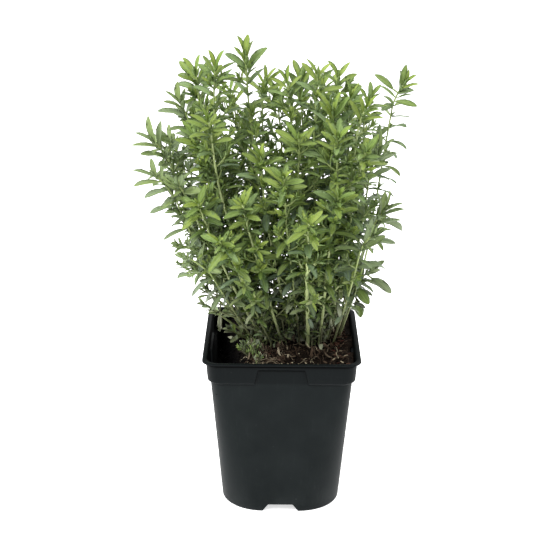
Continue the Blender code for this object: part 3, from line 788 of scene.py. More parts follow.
def pot_columns():
    """Places along one whole side, from -3 at one corner's middle to 3 at the next.

    From 0 to 1 a place runs from the side's middle to the edge of the gap or notch, from 1 to 2
    across that edge, and from 2 to 3 on to the corner.
    """
    corner = (0.1, 0.2, 0.3, 0.4, 0.5, 0.6, 0.68, 0.76, 0.8, 0.84, 0.88, 0.92, 0.96, 1)
    half = np.concatenate([np.arange(0, 8) / 8, 1 + np.arange(0, 9) / 8, 2 + np.array(corner)])
    return np.concatenate([-half[:0:-1], half[:-1]])


def side_end(half, corner):
    """Distance from a side's middle to the corner's: the straight part and half the arc."""
    return half - corner + corner * math.pi / 4


def make_pot(material):
    """The pot's wall: a profile carried round a square with round corners.

    A place at distance l along a side stands on the straight part while l is under s, half the
    straight length, and beyond it on the corner's arc at the angle (l - s) / r. Near the foot, rows
    are squeezed up so that the lowest one follows the notch. In the gap the band's relief is taken
    away, with a smooth step over the gap's edge.
    """
    height, half, corner, relief, rubbed, crease = (row[:, None] for row in pot_profile())
    place = pot_columns()[None, :]
    beyond = np.abs(place)

    def spread(edge, end):
        """Distance along the side for the columns, given the edge and the side's end."""
        inner = beyond * (edge - EDGE_BAND)
        rim = edge + (2 * beyond - 3) * EDGE_BAND
        outer = edge + EDGE_BAND + (beyond - 2) * (end - edge - EDGE_BAND)
        return np.where(beyond < 1, inner, np.where(beyond < 2, rim, outer))

    levels = [0, NOTCH_HEIGHT, BAND_FOOT, GAP_TOP]
    edges = [NOTCH_FOOT_HALF, NOTCH_TOP_HALF, GAP_FOOT_HALF, GAP_TOP_HALF]
    edge = np.interp(height, levels, edges)
    distance = spread(edge, side_end(half, corner))
    across_edge = np.clip((beyond - 1.3) / 0.4, 0, 1)
    notch_z = NOTCH_HEIGHT * (1 - across_edge)
    notch_edge = NOTCH_TOP_HALF + (NOTCH_FOOT_HALF - NOTCH_TOP_HALF) * across_edge
    foot_distance = spread(notch_edge, side_end(wall_half(0), BASE_CORNER))
    zone_end = side_end(wall_half(NOTCH_ZONE), wall_corner(NOTCH_ZONE))
    zone_distance = spread(np.interp(NOTCH_ZONE, levels, edges), zone_end)
    up = np.clip(height / NOTCH_ZONE, 0, 1)
    low = up < 1
    distance = np.where(low, foot_distance + (zone_distance - foot_distance) * up, distance)
    z = np.where(low, notch_z + (NOTCH_ZONE - notch_z) * up, height)
    shift = half - wall_half(height)
    half = np.where(low, wall_half(z) + shift, half)
    corner = np.where(low, wall_corner(z) + np.minimum(shift, 0), corner)

    gap_half = np.interp(z, [BAND_FOOT, GAP_TOP], [GAP_FOOT_HALF, GAP_TOP_HALF])
    gap = ease(gap_half - distance, -GAP_SIDE_BLEND, GAP_SIDE_BLEND)
    gap = gap * ease(GAP_TOP - z, -GAP_TOP_BLEND, GAP_TOP_BLEND)
    straight = half - corner
    angle = np.maximum(distance - straight, 0) / corner
    along = np.minimum(distance, straight) + corner * np.sin(angle)
    out = straight + corner * np.cos(angle) - relief * gap
    along = along * np.sign(place)
    # The gap's edges and a strip under its top are painted dark: painted shade. Inside, the relief's edges
    # are painted lighter: a painted highlight.
    rim = 3.2 * gap * (1 - gap)
    shaded = gap * ease(z, GAP_TOP - 2.1 * MM, GAP_TOP - 1.2 * MM)
    outside = np.arange(len(height))[:, None] < np.argmax(half[:, 0])
    carved = relief > 0.5 * MM
    in_band = outside & (height > BAND_FOOT - 1 * MM)
    crease = np.where(in_band & (height < GAP_TOP), crease * (1 - 0.8 * gap), crease)
    outer_crease = np.maximum(crease, np.maximum(rim, shaded) * carved)
    crease = np.where(outside, outer_crease, crease * (1 - rim * carved))
    rubbed = np.where(outside, rubbed * (1 - gap * in_band), 0.9 * rim * carved)
    around = []
    for quarter in range(4):
        turn = math.radians(90 * quarter)
        x = along * math.cos(turn) + out * math.sin(turn)
        y = along * math.sin(turn) - out * math.cos(turn)
        around.append(np.stack([x, y, z + 0 * x], -1))
    points = np.concatenate(around, 1)
    faces = closed_grid(*points.shape[:2])
    rubbed, crease = np.tile(rubbed + 0 * z, (1, 4)), np.tile(crease, (1, 4))
    piece = put_mesh("pot_wall", points.reshape(-1, 3), faces, material, rubbed=rubbed, crease=crease)
    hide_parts("pot")
    return piece


def closed_grid(rows, columns):
    """Quads over a grid that closes on itself both ways, facing outwards where rows run up."""
    number = np.arange(rows * columns).reshape(rows, columns)
    right = np.roll(number, -1, 1)
    above, corner = np.roll(number, -1, 0), np.roll(right, -1, 0)
    return np.stack([number, right, corner, above], -1).reshape(-1, 4)


def make_pot_floor(material):
    """The raised floor: a flat plate inside the wall, with five round drain holes."""
    curve = bpy.data.curves.new("pot_floor", "CURVE")
    curve.dimensions = "2D"
    curve.fill_mode = "BOTH"
    curve.extrude = FLOOR_THICKNESS / 2

    def outline(x, y):
        spline = curve.splines.new("POLY")
        spline.points.add(len(x) - 1)
        spline.points.foreach_set("co", np.stack([x, y, 0 * x, 0 * x + 1], -1).ravel())
        spline.use_cyclic_u = True

    turn = np.linspace(0, 2 * math.pi, 96, endpoint=False)
    corner = wall_corner(FLOOR_MIDDLE) - WALL / 2
    straight = wall_half(FLOOR_MIDDLE) - WALL / 2 - corner
    outline(straight * np.sign(np.cos(turn)) + corner * np.cos(turn),
            straight * np.sign(np.sin(turn)) + corner * np.sin(turn))
    for x, y in ((0, 0), (1, 1), (-1, 1), (-1, -1), (1, -1)):
        outline(x * DRAIN_OFFSET + DRAIN_RADIUS * np.cos(turn[::4]),
                y * DRAIN_OFFSET + DRAIN_RADIUS * np.sin(turn[::4]))
    plate = add_object("pot_floor_line", curve)
    mesh = bpy.data.meshes.new_from_object(plate.evaluated_get(bpy.context.evaluated_depsgraph_get()))
    mesh.transform(Matrix.Translation((0, 0, FLOOR_MIDDLE)))
    bpy.data.objects.remove(plate)
    mesh.materials.clear()
    mesh.materials.append(material)
    return add_object("pot_floor", mesh)


def soil_height(x, y):
    """Top of the compost: the frame's surface, which slumps at the left wall, with finer crumbs.

    It is banked up a little against the right wall.
    """
    bank = ease(x, BANK_FROM_X, BANK_TO_X)
    slump = ease(-x - SLUMP_SLANT * y, -SLUMP_FROM_X, -SLUMP_TO_X)
    broad = np.sin(x / (7.1 * MM) + 1.3) * np.cos(y / (5.9 * MM))
    fine = 0.6 * np.sin((x - y) / (3.7 * MM))
    crumbs = 0.55 * lumps(x, y, 4.1 * MM, 1) + 0.45 * lumps(x, y, 2.1 * MM, 2)
    crumbs = crumbs + 0.3 * lumps(x, y, 1.1 * MM, 3)
    rough = SOIL_LUMPS * (0.8 * broad + 0.8 * fine + crumbs)
    return SOIL_TOP - SOIL_SLUMP * slump + SOIL_BANK * bank + rough


def on_soil(x, y, lift):
    """The point this far above the compost, all in millimetres."""
    x, y = x * MM, y * MM
    return Vector((x, y, float(soil_height(x, y)) + lift * MM))


def make_compost(material):
    """The compost: rings of the pot's inner outline from its floor up the wall to the crumbly top's
    edge, and on across the top, where they shrink towards the middle."""
    turn = np.linspace(0, 2 * math.pi, 320, endpoint=False)
    squareness = 1.6

    def ring(z, half):
        corner = wall_corner(z) - SOIL_INSET
        straight = half - SOIL_INSET - corner
        x = straight * np.clip(np.cos(turn) * squareness, -1, 1) + corner * np.cos(turn)
        y = straight * np.clip(np.sin(turn) * squareness, -1, 1) + corner * np.sin(turn)
        return x, y

    def full_ring(z):
        """The outline against the wall, which follows the band's bulge beside the gaps."""
        x, y = ring(z, wall_half(z))
        bulge = ease(z, BAND_FOOT + 3 * MM, BAND_FOOT + 4.5 * MM) * (band_half(z) - wall_half(z))
        beside = ease(np.minimum(abs(x), abs(y)), GAP_FOOT_HALF - 0.5 * MM, GAP_FOOT_HALF + 1 * MM)
        above = ease(z, GAP_TOP + 0.4 * MM, GAP_TOP + 1.2 * MM)
        return ring(z, wall_half(z) + bulge * np.maximum(beside, above))

    rings = []
    for z in (SOIL_FOOT, BAND_FOOT / 2, SOIL_TOP - SOIL_SLUMP - 5 * MM):
        x, y = ring(z, wall_half(z))
        rings.append(np.stack([x, y, np.full_like(x, z)], -1))
    edge_x, edge_y = full_ring(np.full_like(turn, SOIL_TOP))
    edge_height = soil_height(edge_x, edge_y)
    steps = [BAND_FOOT + rise * MM for rise in (0, 2.5, 5)] + [GAP_TOP + rise * MM for rise in (0.3, 1.3)]
    for z in steps:
        level = np.minimum(z, edge_height - 0.5 * MM)
        x, y = full_ring(level)
        rings.append(np.stack([x, y, level], -1))
    edge_x, edge_y = full_ring(edge_height)
    for share in np.linspace(1, 0.01, 92):
        x, y = edge_x * share, edge_y * share
        rings.append(np.stack([x, y, soil_height(x, y)], -1))
    points = np.array(rings)
    quads, ends = capped(*points.shape[:2])
    poles = [[0, 0, SOIL_FOOT], [0, 0, points[-1, :, 2].mean()]]
    points = np.concatenate([points.reshape(-1, 3), poles])
    piece = put_mesh("compost_surface", points, np.concatenate([triangles(quads), ends]), material)
    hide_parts("compost")
    return piece


def clamp(value, low=0.0, high=1.0):
    """The value, kept between the two limits."""
    return min(max(value, low), high)


def fan(z):
    """How far the clump has opened at this height: 0 at its foot, 1 at its full spread."""
    rise = clamp((z - LEAN_START) / (FULL_SPREAD - LEAN_START))
    return 1 - (1 - rise) ** FAN_POWER


def clump_spread(z):
    """The clump's middle at this height, and how much of its full width and depth it has there."""
    opened = fan(z)
    centre = CLUMP_FOOT.lerp(CLUMP_HEAD, opened)
    spread_x = FOOT_SPREAD_X + (1 - FOOT_SPREAD_X) * opened
    spread_y = FOOT_SPREAD_Y + (1 - FOOT_SPREAD_Y) * opened
    return centre, spread_x, spread_y


def clump_point(place, z):
    """Where a stem of this place in the clump is at this height. Places never meet."""
    centre, spread_x, spread_y = clump_spread(z)
    return Vector((centre.x + spread_x * place.x, centre.y + spread_y * place.y, z))


def tilted(axis, outward, angle):
    """The direction that leaves the axis by this angle, towards the way outward."""
    return (axis * math.cos(angle) + outward * math.sin(angle)).normalized()


class Twig:
    """A line of points from foot to tip, measured back from its tip."""

    def measure(self):
        self.back = [0.0]
        for upper, lower in zip(self.line[::-1], self.line[-2::-1]):
            self.back.insert(0, self.back[0] + (upper - lower).length)
        self.length = self.back[0]

    def at(self, back):
        """The middle and direction of the twig, this far back from its tip."""
        i = next(k for k in range(len(self.back) - 1) if self.back[k + 1] <= back)
        share = (self.back[i] - back) / (self.back[i] - self.back[i + 1])
        along = self.line[i + 1] - self.line[i]
        return self.line[i] + along * share, along.normalized()


class Stem(Twig):
    """One stem of the frame: the same line, and all the leaf pairs of which the frame's has some."""

    def __init__(self, number, row):
        x, y, self.top, nod_x, nod_y = (value * MM for value in row)
        self.random = random.Random(SEED + number)
        self.nod = Vector((nod_x, nod_y, 0))
        centre, spread_x, spread_y = clump_spread(self.top)
        self.place = Vector(((x - nod_x - centre.x) / spread_x, (y - nod_y - centre.y) / spread_y))
        self.sway = self.random.uniform(0, 2 * math.pi)
        steps = max(2, round((self.top - LEAN_START) / STEM_POINT_GAP))
        heights = [LEAN_START + (self.top - LEAN_START) * i / steps for i in range(steps)]
        heights += [self.top - NOD_LENGTH / 2, self.top]
        self.line = [self.point(z) for z in sorted(heights)]
        self.measure()

    def point(self, z):
        """The stem's middle at this height: its place in the clump, a slight sway, and its nod."""
        point = clump_point(self.place, z)
        wave = SWAY * fan(z)
        point.x += wave * math.sin(self.sway + z / SWAY_LENGTH_X)
        point.y += wave * math.cos(2 * self.sway + z / SWAY_LENGTH_Y)
        nod = clamp(1 - (self.top - z) / NOD_LENGTH)
        return point + self.nod * nod * nod


class Shoot(Twig):
    """A side shoot: it leaves the axil of a leaf at an angle and bends up along its stem."""

    def __init__(self, root, axis, outward, length, rng, opening=SHOOT_OPENING):
        self.random = rng
        self.line = [root.copy()]
        for i in range(SHOOT_STEPS):
            angle = math.radians(opening * (1 - 0.6 * i / SHOOT_STEPS))
            self.line.append(self.line[-1] + tilted(axis, outward, angle) * (length / SHOOT_STEPS))
        self.measure()


def pair_places(twig, bare):
    """Where the leaf pairs stand: distances back from the tip, crowded in the bud."""
    back = FIRST_PAIR
    gap = BUD_GAP
    while back < twig.length - bare or back < 2 * FIRST_PAIR:
        yield back
        back += gap
        gap = min(gap * GAP_GROWTH, WIDEST_GAP)


def leaf_on(twig, back, age, turn):
    """One leaf: where it is rooted, which way it points and how it bends over."""
    rng = twig.random
    middle, axis = twig.at(back)
    turn += math.radians(rng.uniform(-SIDE_JITTER, SIDE_JITTER))
    outward = Matrix.Rotation(turn, 3, axis) @ axis.cross(Vector((0, 1, 0))).normalized()
    opening = BUD_OPENING + GROWN_OPENING * (1 - math.exp(-back / OPENING_BACK)) + OLD_OPENING * age
    opening = math.radians(opening + rng.uniform(-OPENING_JITTER, OPENING_JITTER))
    size = BUD_SIZE + (1 - BUD_SIZE) * min(back / FULL_SIZE_BACK, 1) - OLD_SHRINK * max(age - OLD_AGE, 0)
    length = LEAF_LENGTH * size * rng.uniform(*LENGTH_SPREAD)
    grown = 1 - math.exp(-back / DROOP_BACK)
    return {
        "root": middle,
        "axis": axis,
        "outward": outward,
        "back": back,
        "opening": opening,
        "along": tilted(axis, outward, opening),
        "across": axis.cross(outward).normalized(),
        "length": length,
        "width": length * LEAF_WIDTH_SHARE * rng.uniform(*WIDTH_SPREAD),
        "droop": math.radians(BUD_DROOP + GROWN_DROOP * grown * rng.uniform(*DROOP_SPREAD)),
    }


def pairs_of(twig, bare=BARE_FOOT):
    """Every leaf pair of a twig: crossed pairs that open, lengthen and droop with their age."""
    turn = twig.random.uniform(0, math.pi)
    pairs = []
    for back in pair_places(twig, bare):
        turn += math.radians(90 + twig.random.uniform(-TURN_JITTER, TURN_JITTER))
        age = clamp(back / max(twig.length, 2 * BARE_FOOT))
        pairs.append([leaf_on(twig, back, age, turn + half) for half in (0, math.pi)])
    return pairs


def finish_leaf(leaf, rng, youth):
    """Gives a leaf its own fold, twist, waviness and colour."""
    leaf["youth"] = clamp(youth)
    leaf["tint"] = rng.random()
    leaf["pale"] = 0.0
    leaf["dull"] = 0.0
    leaf["fold"] = rng.uniform(*FOLD) + YOUNG_FOLD * leaf["youth"]
    leaf["twist"] = math.radians(rng.gauss(0, USUAL_TWIST))
    leaf["wave"] = rng.uniform(0.0, MOST_WAVE)
    leaf["width"] *= SCENE_WIDTH
    return leaf


def loose_leaf(root, along, across, length, width, droop, rng, youth=0.0):
    """A finished leaf that belongs to no pair, with its droop in degrees."""
    leaf = {"root": root, "along": along, "across": across, "length": length, "width": width}
    leaf["droop"] = math.radians(droop)
    return finish_leaf(leaf, rng, youth)


def repose(leaf, wider, size):
    """Opens a leaf wider from its stem, in degrees, and changes its size, as sprigs differ."""
    opening = min(leaf["opening"] + math.radians(wider), math.radians(WIDEST_OPENING))
    leaf["along"] = tilted(leaf["axis"], leaf["outward"], opening)
    leaf["length"] *= size
    leaf["width"] *= size


def face_light(leaf, share):
    """Twists a leaf on its stalk so that its broad side turns part of the way to the light."""
    lit = LIGHT_SIDE.cross(leaf["along"]).normalized()
    if leaf["across"].dot(lit) < TURNED_AWAY:
        lit = -lit
    leaf["across"] = (leaf["across"] + lit * share).normalized()


def smallness(leaf):
    """How far a leaf is among the small ones low in the clump: from 0 to 1."""
    return clamp((SMALL_LEAVES_BELOW - leaf["root"].z) / SMALL_LEAVES_OVER)


def weather(leaf, rng):
    """Low in the clump some leaves are darkened with painted shade, and others bleach grey-green."""
    low = clamp((SHADE_BELOW - leaf["root"].z) / (SHADE_BELOW - SHADE_FULL))
    draw = rng.random()
    if draw < SHADED_SHARE:
        leaf["dull"] = low * rng.uniform(*SHADED_BY)
    elif draw > 1 - BLEACHED_SHARE:
        leaf["pale"] = max(leaf["pale"], low * rng.uniform(*BLEACHED_BY))


# Sections of a blade: places along it, and round each section the share across and the side
BLADE_STATIONS = (0.08, 0.26, 0.46, 0.66, 0.83, 0.95)
SHOOT_STATIONS = (0.1, 0.34, 0.6, 0.84, 0.95)
BLADE_RING = ((-1, 0), (-0.48, 1), (0, 1), (0.48, 1), (1, 0), (0, -1))
TUFT_STATIONS = (0.12, 0.5, 0.86)
TUFT_RING = ((-1, 0), (0, 1), (1, 0), (0, -1))


def blades(leaves, stations, ring):
    """Closed thin blades for all of these leaves at once.

    The middle line bends over on an arc: p(t) = root + along * L sin(dt) / d - above * L (1 - cos(dt)) / d,
    with d the droop. The half width is W / 2 * t^a (1 - t)^b over its greatest value, with the two
    tapers a and b, and never less than the leaf stalk's. Towards its edges a section is lifted by the
    fold, and each side stands off the middle surface by half the thickness, less the midrib's groove.
    Both ends close in a point.
    """
    def take(key):
        return np.array([leaf[key] for leaf in leaves], float)

    def column(key):
        return take(key)[:, None]

    root, along, across = take("root"), take("along"), take("across")
    above = np.cross(along, across)
    length, width, droop = column("length"), column("width"), column("droop")
    t = np.array(stations)[None, :]
    bent = droop * t
    run = length * np.sin(bent) / droop
    fall = length * (1 - np.cos(bent)) / droop
    middle = root[:, None] + along[:, None] * run[..., None] - above[:, None] * fall[..., None]
    up = above[:, None] * np.cos(bent)[..., None] + along[:, None] * np.sin(bent)[..., None]
    turn = (column("twist") * t)[..., None]
    side = across[:, None] * np.cos(turn) + up * np.sin(turn)
    up = up * np.cos(turn) - across[:, None] * np.sin(turn)
    widest = TAPER_IN / (TAPER_IN + TAPER_OUT)
    outline = (t / widest) ** TAPER_IN * ((1 - t) / (1 - widest)) ** TAPER_OUT
    stalk = np.minimum(PETIOLE_HALF, width / 6)
    half = np.maximum(width / 2 * outline, stalk * (1 - t))
    share, face = np.array(ring).T[:, None, None, :]
    lift = column("fold")[..., None] * half[..., None] * np.abs(share) ** 1.2
    ripple = np.sin(9 * t + 40 * column("wave"))[..., None] * column("wave")[..., None]
    lift = lift + ripple * half[..., None] * share * np.abs(share)
    thin = BLADE_THICKNESS / 2 * (1 - 0.75 * t[..., None]) * face * (1 - 0.5 * np.abs(share))
    groove = MIDRIB_DEPTH * (share == 0) * (1 - t[..., None])
    height = lift + thin - groove
    rings = middle[:, :, None] + side[:, :, None] * (share * half[..., None])[..., None]
    rings = rings + up[:, :, None] * height[..., None]
    count, points_round = len(leaves), len(ring)
    tip = root + along * (length * np.sin(droop) / droop) - above * (length * (1 - np.cos(droop)) / droop)
    points = np.concatenate([rings.reshape(count, -1, 3), root[:, None], tip[:, None]], 1)
    per_leaf = points.shape[1]
    quads, ends = capped(len(stations), points_round)
    one = np.concatenate([triangles(quads), ends])[:, ::-1]
    map_x = np.append(np.tile((share.ravel() + 1) / 2, len(stations)), [0.5, 0.5])
    map_y = np.append(np.repeat(stations, points_round), [0, 1])
    under = np.append(np.tile((1 - face.ravel()) / 2, len(stations)), [0.5, 0.5])
    whole = {key: np.repeat(take(key), per_leaf) for key in ("youth", "tint", "pale", "dull")}
    return whole | {
        "points": points.reshape(-1, 3),
        "faces": repeated(one, per_leaf, count),
        "uv": np.tile(np.stack([map_x, map_y], -1), (count, 1)),
        "under": np.tile(under, count),
    }


def tube(points, radii, sides=8, squareness=0.1, pale=0.0):
    """A tube round a line of points, slightly square, closed at both ends in a point.

    At each point the ring lies across the line's direction; its radius at the angle q is
    r (1 - squareness cos 4q).
    """
    points = np.array(points, float)
    radii = np.array(radii, float)[:, None]
    direction = unit(np.gradient(points, axis=0))
    helper = np.where(np.abs(direction[:, 1:2]) < 0.9, np.array([[0.0, 1, 0]]), np.array([[1.0, 0, 0]]))
    first = unit(np.cross(helper, direction))
    second = np.cross(direction, first)
    angle = np.linspace(0, 2 * math.pi, sides, endpoint=False)
    reach = radii * (1 + squareness * np.cos(4 * angle + math.pi))[None]
    rings = points[:, None] + first[:, None] * (reach * np.cos(angle))[..., None]
    rings = rings + second[:, None] * (reach * np.sin(angle))[..., None]
    tip = points[-1] + direction[-1] * radii[-1]
    body = np.concatenate([rings.reshape(-1, 3), points[:1], tip[None]])
    quads, ends = capped(len(points), sides)
    whole = dict.fromkeys(("youth", "tint", "under", "dull"), np.zeros(len(body)))
    return whole | {
        "points": body, "faces": np.concatenate([triangles(quads), ends]),
        "uv": np.zeros((len(body), 2)), "pale": np.full(len(body), pale),
    }


def joined(parts):
    """Several surfaces as one set of arrays."""
    starts = np.cumsum([0] + [len(part["points"]) for part in parts[:-1]])
    whole = {key: np.concatenate([part[key] for part in parts]) for key in parts[0] if key != "faces"}
    whole["faces"] = np.concatenate([part["faces"] + start for part, start in zip(parts, starts)])
    return whole


def stem_tube(stem, pairs, thickness, pale):
    """The stem's own tube: it thins towards the tip and swells a little at each leaf pair."""
    low = SOIL_TOP - ROOT_DEPTH
    heights = np.arange(low, stem.top, STEM_RING_GAP)
    share = (heights - low) / (stem.top - low)
    foot = STEM_RADIUS * thickness
    radii = foot + (TIP_RADIUS - foot) * share ** STEM_TAPER
    nodes = np.array([pair[0]["root"].z for pair in pairs])
    near = np.exp(-((heights[:, None] - nodes[None]) / NODE_HALF) ** 2).sum(1)
    radii = radii * (1 + NODE_SWELL * np.minimum(near, 1))
    return tube([stem.point(z) for z in heights], radii, 6, 0.05, pale)


def tuft(leaf, rng):
    """Tiny leaves in the axil of a leaf: they stand between the stem and the leaf."""
    made = []
    for _ in range(rng.choice(TUFT_COUNTS)):
        turn = math.radians(rng.uniform(-TUFT_TURN, TUFT_TURN))
        outward = Matrix.Rotation(turn, 3, leaf["axis"]) @ leaf["outward"]
        along = tilted(leaf["axis"], outward, math.radians(rng.uniform(*TUFT_OPENING)))
        length = rng.uniform(TUFT_LEAST, TUFT_MOST)
        root, across = leaf["root"] + leaf["axis"] * 0.5 * MM, leaf["axis"].cross(outward).normalized()
        width, droop = length * rng.uniform(*TUFT_WIDTH), rng.uniform(*TUFT_DROOP)
        youth = rng.uniform(*TUFT_YOUTH)
        made.append(loose_leaf(root, along, across, length, width, droop, rng, youth))
    return made


def young_leaves(shoot, rng, size, roundness=1.0, oldest=0.25, bare=SHOOT_BARE_FOOT):
    """The finished leaves of a shoot, smaller than a stem's."""
    leaves = []
    for pair in pairs_of(shoot, bare):
        for leaf in pair:
            leaf["length"] *= size
            leaf["width"] *= size * roundness
            youth = oldest + (1 - oldest) * math.exp(-leaf["back"] / YOUNG_BACK)
            finish_leaf(leaf, rng, youth * rng.uniform(0.7, 1.1))
            weather(leaf, rng)
            leaves.append(leaf)
    return leaves


def shoot_tube(shoot, taper):
    """The thin tube of a side shoot, whose radius at the tip is this share of the foot's."""
    return tube(shoot.line, np.linspace(1, taper, len(shoot.line)) * SHOOT_RADIUS, 4, 0, SHOOT_PALE)


def side_shoots(stem, leaves, share, tuft_share, rng):
    """Side shoots in some axils of a stem and tufts in others: tubes, leaves, tiny leaves."""
    tubes, young, tiny = [], [], []
    for leaf in leaves:
        room = stem.length - leaf["back"]
        if leaf["back"] > SHOOT_FROM and rng.random() < share and room > SHOOT_ROOM:
            most = min(SHOOT_MOST, SHOOT_LEAST + SHOOT_GROWTH * leaf["back"])
            length = rng.uniform(SHOOT_LEAST, most)
            end = leaf["root"] + (leaf["axis"] * 0.8 + leaf["outward"] * 0.5) * length
            if cad_low.x < end.x < cad_high.x and cad_low.y < end.y < cad_high.y:
                shoot = Shoot(leaf["root"], leaf["axis"], leaf["outward"], length, rng)
                tubes.append(shoot_tube(shoot, 0.75))
                size = SHOOT_LEAF * rng.uniform(0.7, 1.1) * (1 - 0.3 * smallness(leaf))
                young += young_leaves(shoot, rng, size)
                continue
        if leaf["back"] > TUFT_FROM and rng.random() < tuft_share:
            tiny += tuft(leaf, rng)
    return tubes, young, tiny


def lone_leaf(stem, height, tip, width, droop, pale, rng):
    """A large leaf bent over by the droop, from this height of a stem to a given tip.

    Where the tip is further from the stem than a leaf is long, a twig bridges the rest.
    """
    foot = stem.point(height * MM)
    way = Vector(tip) * MM - foot
    reach = way.normalized() * min(way.length, LONGEST_LEAF)
    root = foot + way - reach
    twig = None
    if way.length > LONGEST_LEAF + 3 * MM:
        twig = Shoot(foot, way.normalized(), UP, way.length - LONGEST_LEAF, rng, 0)
    bend = math.radians(droop)
    across = reach.cross(LIGHT_SIDE).normalized()
    along = Matrix.Rotation(bend / 2, 3, across) @ reach.normalized()
    length = reach.length * (bend / 2) / math.sin(bend / 2)
    leaf = loose_leaf(root, along, -across, length, width * MM / SCENE_WIDTH, droop, rng, LONE_YOUTH)
    leaf["pale"] = pale
    leaf["twist"] = math.radians(rng.uniform(-20, 20))
    leaf["youth"] = LONE_YOUTH if pale else 0.3
    leaf["tint"] = 0.3 if pale else 0.55
    return leaf, twig


def shed_low(leaves, rng):
    """The leaves that are left: over the hollow most of the low ones have been shed."""
    kept = []
    for leaf in leaves:
        over_hollow = leaf["root"].x < OPEN_X and leaf["root"].z < OPEN_Z
        if not over_hollow or rng.random() > OPEN_LOSS:
            kept.append(leaf)
    return kept


def own_leaves(pairs, number, rng):
    """The finished leaves of a stem's own pairs: star and bud at the tip, small ones low down."""
    wider, size = SPRIG_LOOKS.get(number, (rng.uniform(*USUAL_WIDER), rng.uniform(*USUAL_SIZE)))
    light_turn = SLIGHT_TURN if number in SLIGHTLY_TURNED else LIGHT_TURN
    first = pairs[0][0]["outward"]
    sizes = BUD_SIZES if abs(first.x) > abs(first.y) else TURNED_BUD_SIZES
    leaves = []
    for order, pair in enumerate(pairs):
        for leaf in pair:
            youth = math.exp(-leaf["back"] / YOUNG_BACK)
            finish_leaf(leaf, rng, youth * rng.uniform(0.75, 1.1))
            near_tip = clamp(2 - 2 * leaf["back"] / STAR_REACH)
            small = 1 - (1 - SMALLEST_LEAF) * smallness(leaf)
            if order < len(sizes):
                small *= sizes[order]
            bud = clamp(1 - leaf["back"] / BUD_REACH)
            turned = wider * near_tip * (1 - bud) - BUD_CLOSING * bud
            repose(leaf, turned, (1 + (size - 1) * near_tip) * small)
            face_light(leaf, light_turn * near_tip)
            weather(leaf, rng)
            leaves.append(leaf)
    if number in LOST_SHARES:
        lost = LOST_SHARES[number]
        leaves = [leaf for leaf in leaves if leaf["back"] < KEPT_BACK or rng.random() > lost]
    return leaves


def rows_of(table, number):
    """What a table says of this stem: the rest of each of its rows."""
    return [row[1:] for row in table if row[0] == number]


def make_sprig(number, row, finishes):
    """One stem of the frame, dressed with its leaves, side shoots and tufts."""
    stem = Stem(number, row)
    pairs = pairs_of(stem)
    rng = random.Random(SEED * 7 + number)
    leaves = own_leaves(pairs, number, rng)
    shoot_share, tuft_share = SHOOT_SHARES.get(number, SHOOT_SHARE), TUFT_SHARES.get(number, 1)
    tubes, young, tiny = side_shoots(stem, leaves, shoot_share, tuft_share, rng)
    shed = random.Random(SEED * 11 + number)
    leaves = leaves[:KEPT_LEAVES] + shed_low(leaves[KEPT_LEAVES:], shed)
    young, tiny = shed_low(young, shed), shed_low(tiny, shed)
    if number in GREY_STEMS:
        for leaf in leaves + young + tiny:
            leaf["tint"] *= GREY_TINT
            leaf["youth"] *= GREY_YOUTH
            leaf["pale"] = max(leaf["pale"], GREY_PALE)
    for shape in rows_of(LONE_LEAVES, number):
        leaf, twig = lone_leaf(stem, *shape, rng)
        leaves.append(leaf)
        if twig:
            tubes.append(shoot_tube(twig, 1))
            if leaf["pale"] < 1:
                young += young_leaves(twig, rng, SHOOT_LEAF * 0.7)
    for height, direction, length, bare, radius in rows_of(FORKS, number):
        axis = Vector(direction).normalized()
        fork = Shoot(stem.point(height * MM), axis, Vector((0, -1, 0)), length * MM, rng, 0)
        radii = np.linspace(radius, FORK_TIP_RADIUS, len(fork.line)) * MM
        tubes.append(tube(fork.line, radii, 6, 0, 1.0))
        young += young_leaves(fork, rng, SHOOT_LEAF * 0.8, bare=bare * MM)
    thickness = THICK_STEMS.get(number, STEM_THICKNESS * rng.uniform(*STEM_SPREAD))
    pale = 1.0 if number in THICK_STEMS else rng.uniform(0, 0.7)
    tubes.insert(0, stem_tube(stem, pairs, thickness, pale))
    kinds = [
        (leaves, BLADE_STATIONS, BLADE_RING),
        (young, SHOOT_STATIONS, BLADE_RING),
        (tiny, TUFT_STATIONS, TUFT_RING),
    ]
    piece = put_foliage(f"sprig_{number + 1:02d}", kinds, tubes, finishes)
    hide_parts(f"stem_{number + 1:02d}")
    return piece


def put_foliage(name, kinds, tubes, finishes):
    """A piece of leaves and of the tubes that carry them, with the finish of each.

    Each kind is a list of leaves with the stations and the ring of their blades.
    """
    foliage = [blades(*kind) for kind in kinds if kind[0]]
    leaf_faces = sum(len(part["faces"]) for part in foliage)
    whole = joined(foliage + tubes)
    points, faces, uv = (whole.pop(key) for key in ("points", "faces", "uv"))
    return put_mesh(name, points, faces, finishes[0], uv, (finishes[1], leaf_faces), **whole)


def lying_leaf(rng, places, rises, lengths):
    """Where a leaf lies in millimetres, which way it points, the way across it, and its length."""
    x, y = (rng.uniform(*span) for span in places)
    turn, rise = rng.uniform(0, 2 * math.pi), rng.uniform(*rises)
    along = Vector((math.cos(turn), math.sin(turn), rise)).normalized()
    return x, y, along, along.cross(UP).normalized(), rng.uniform(*lengths) * MM


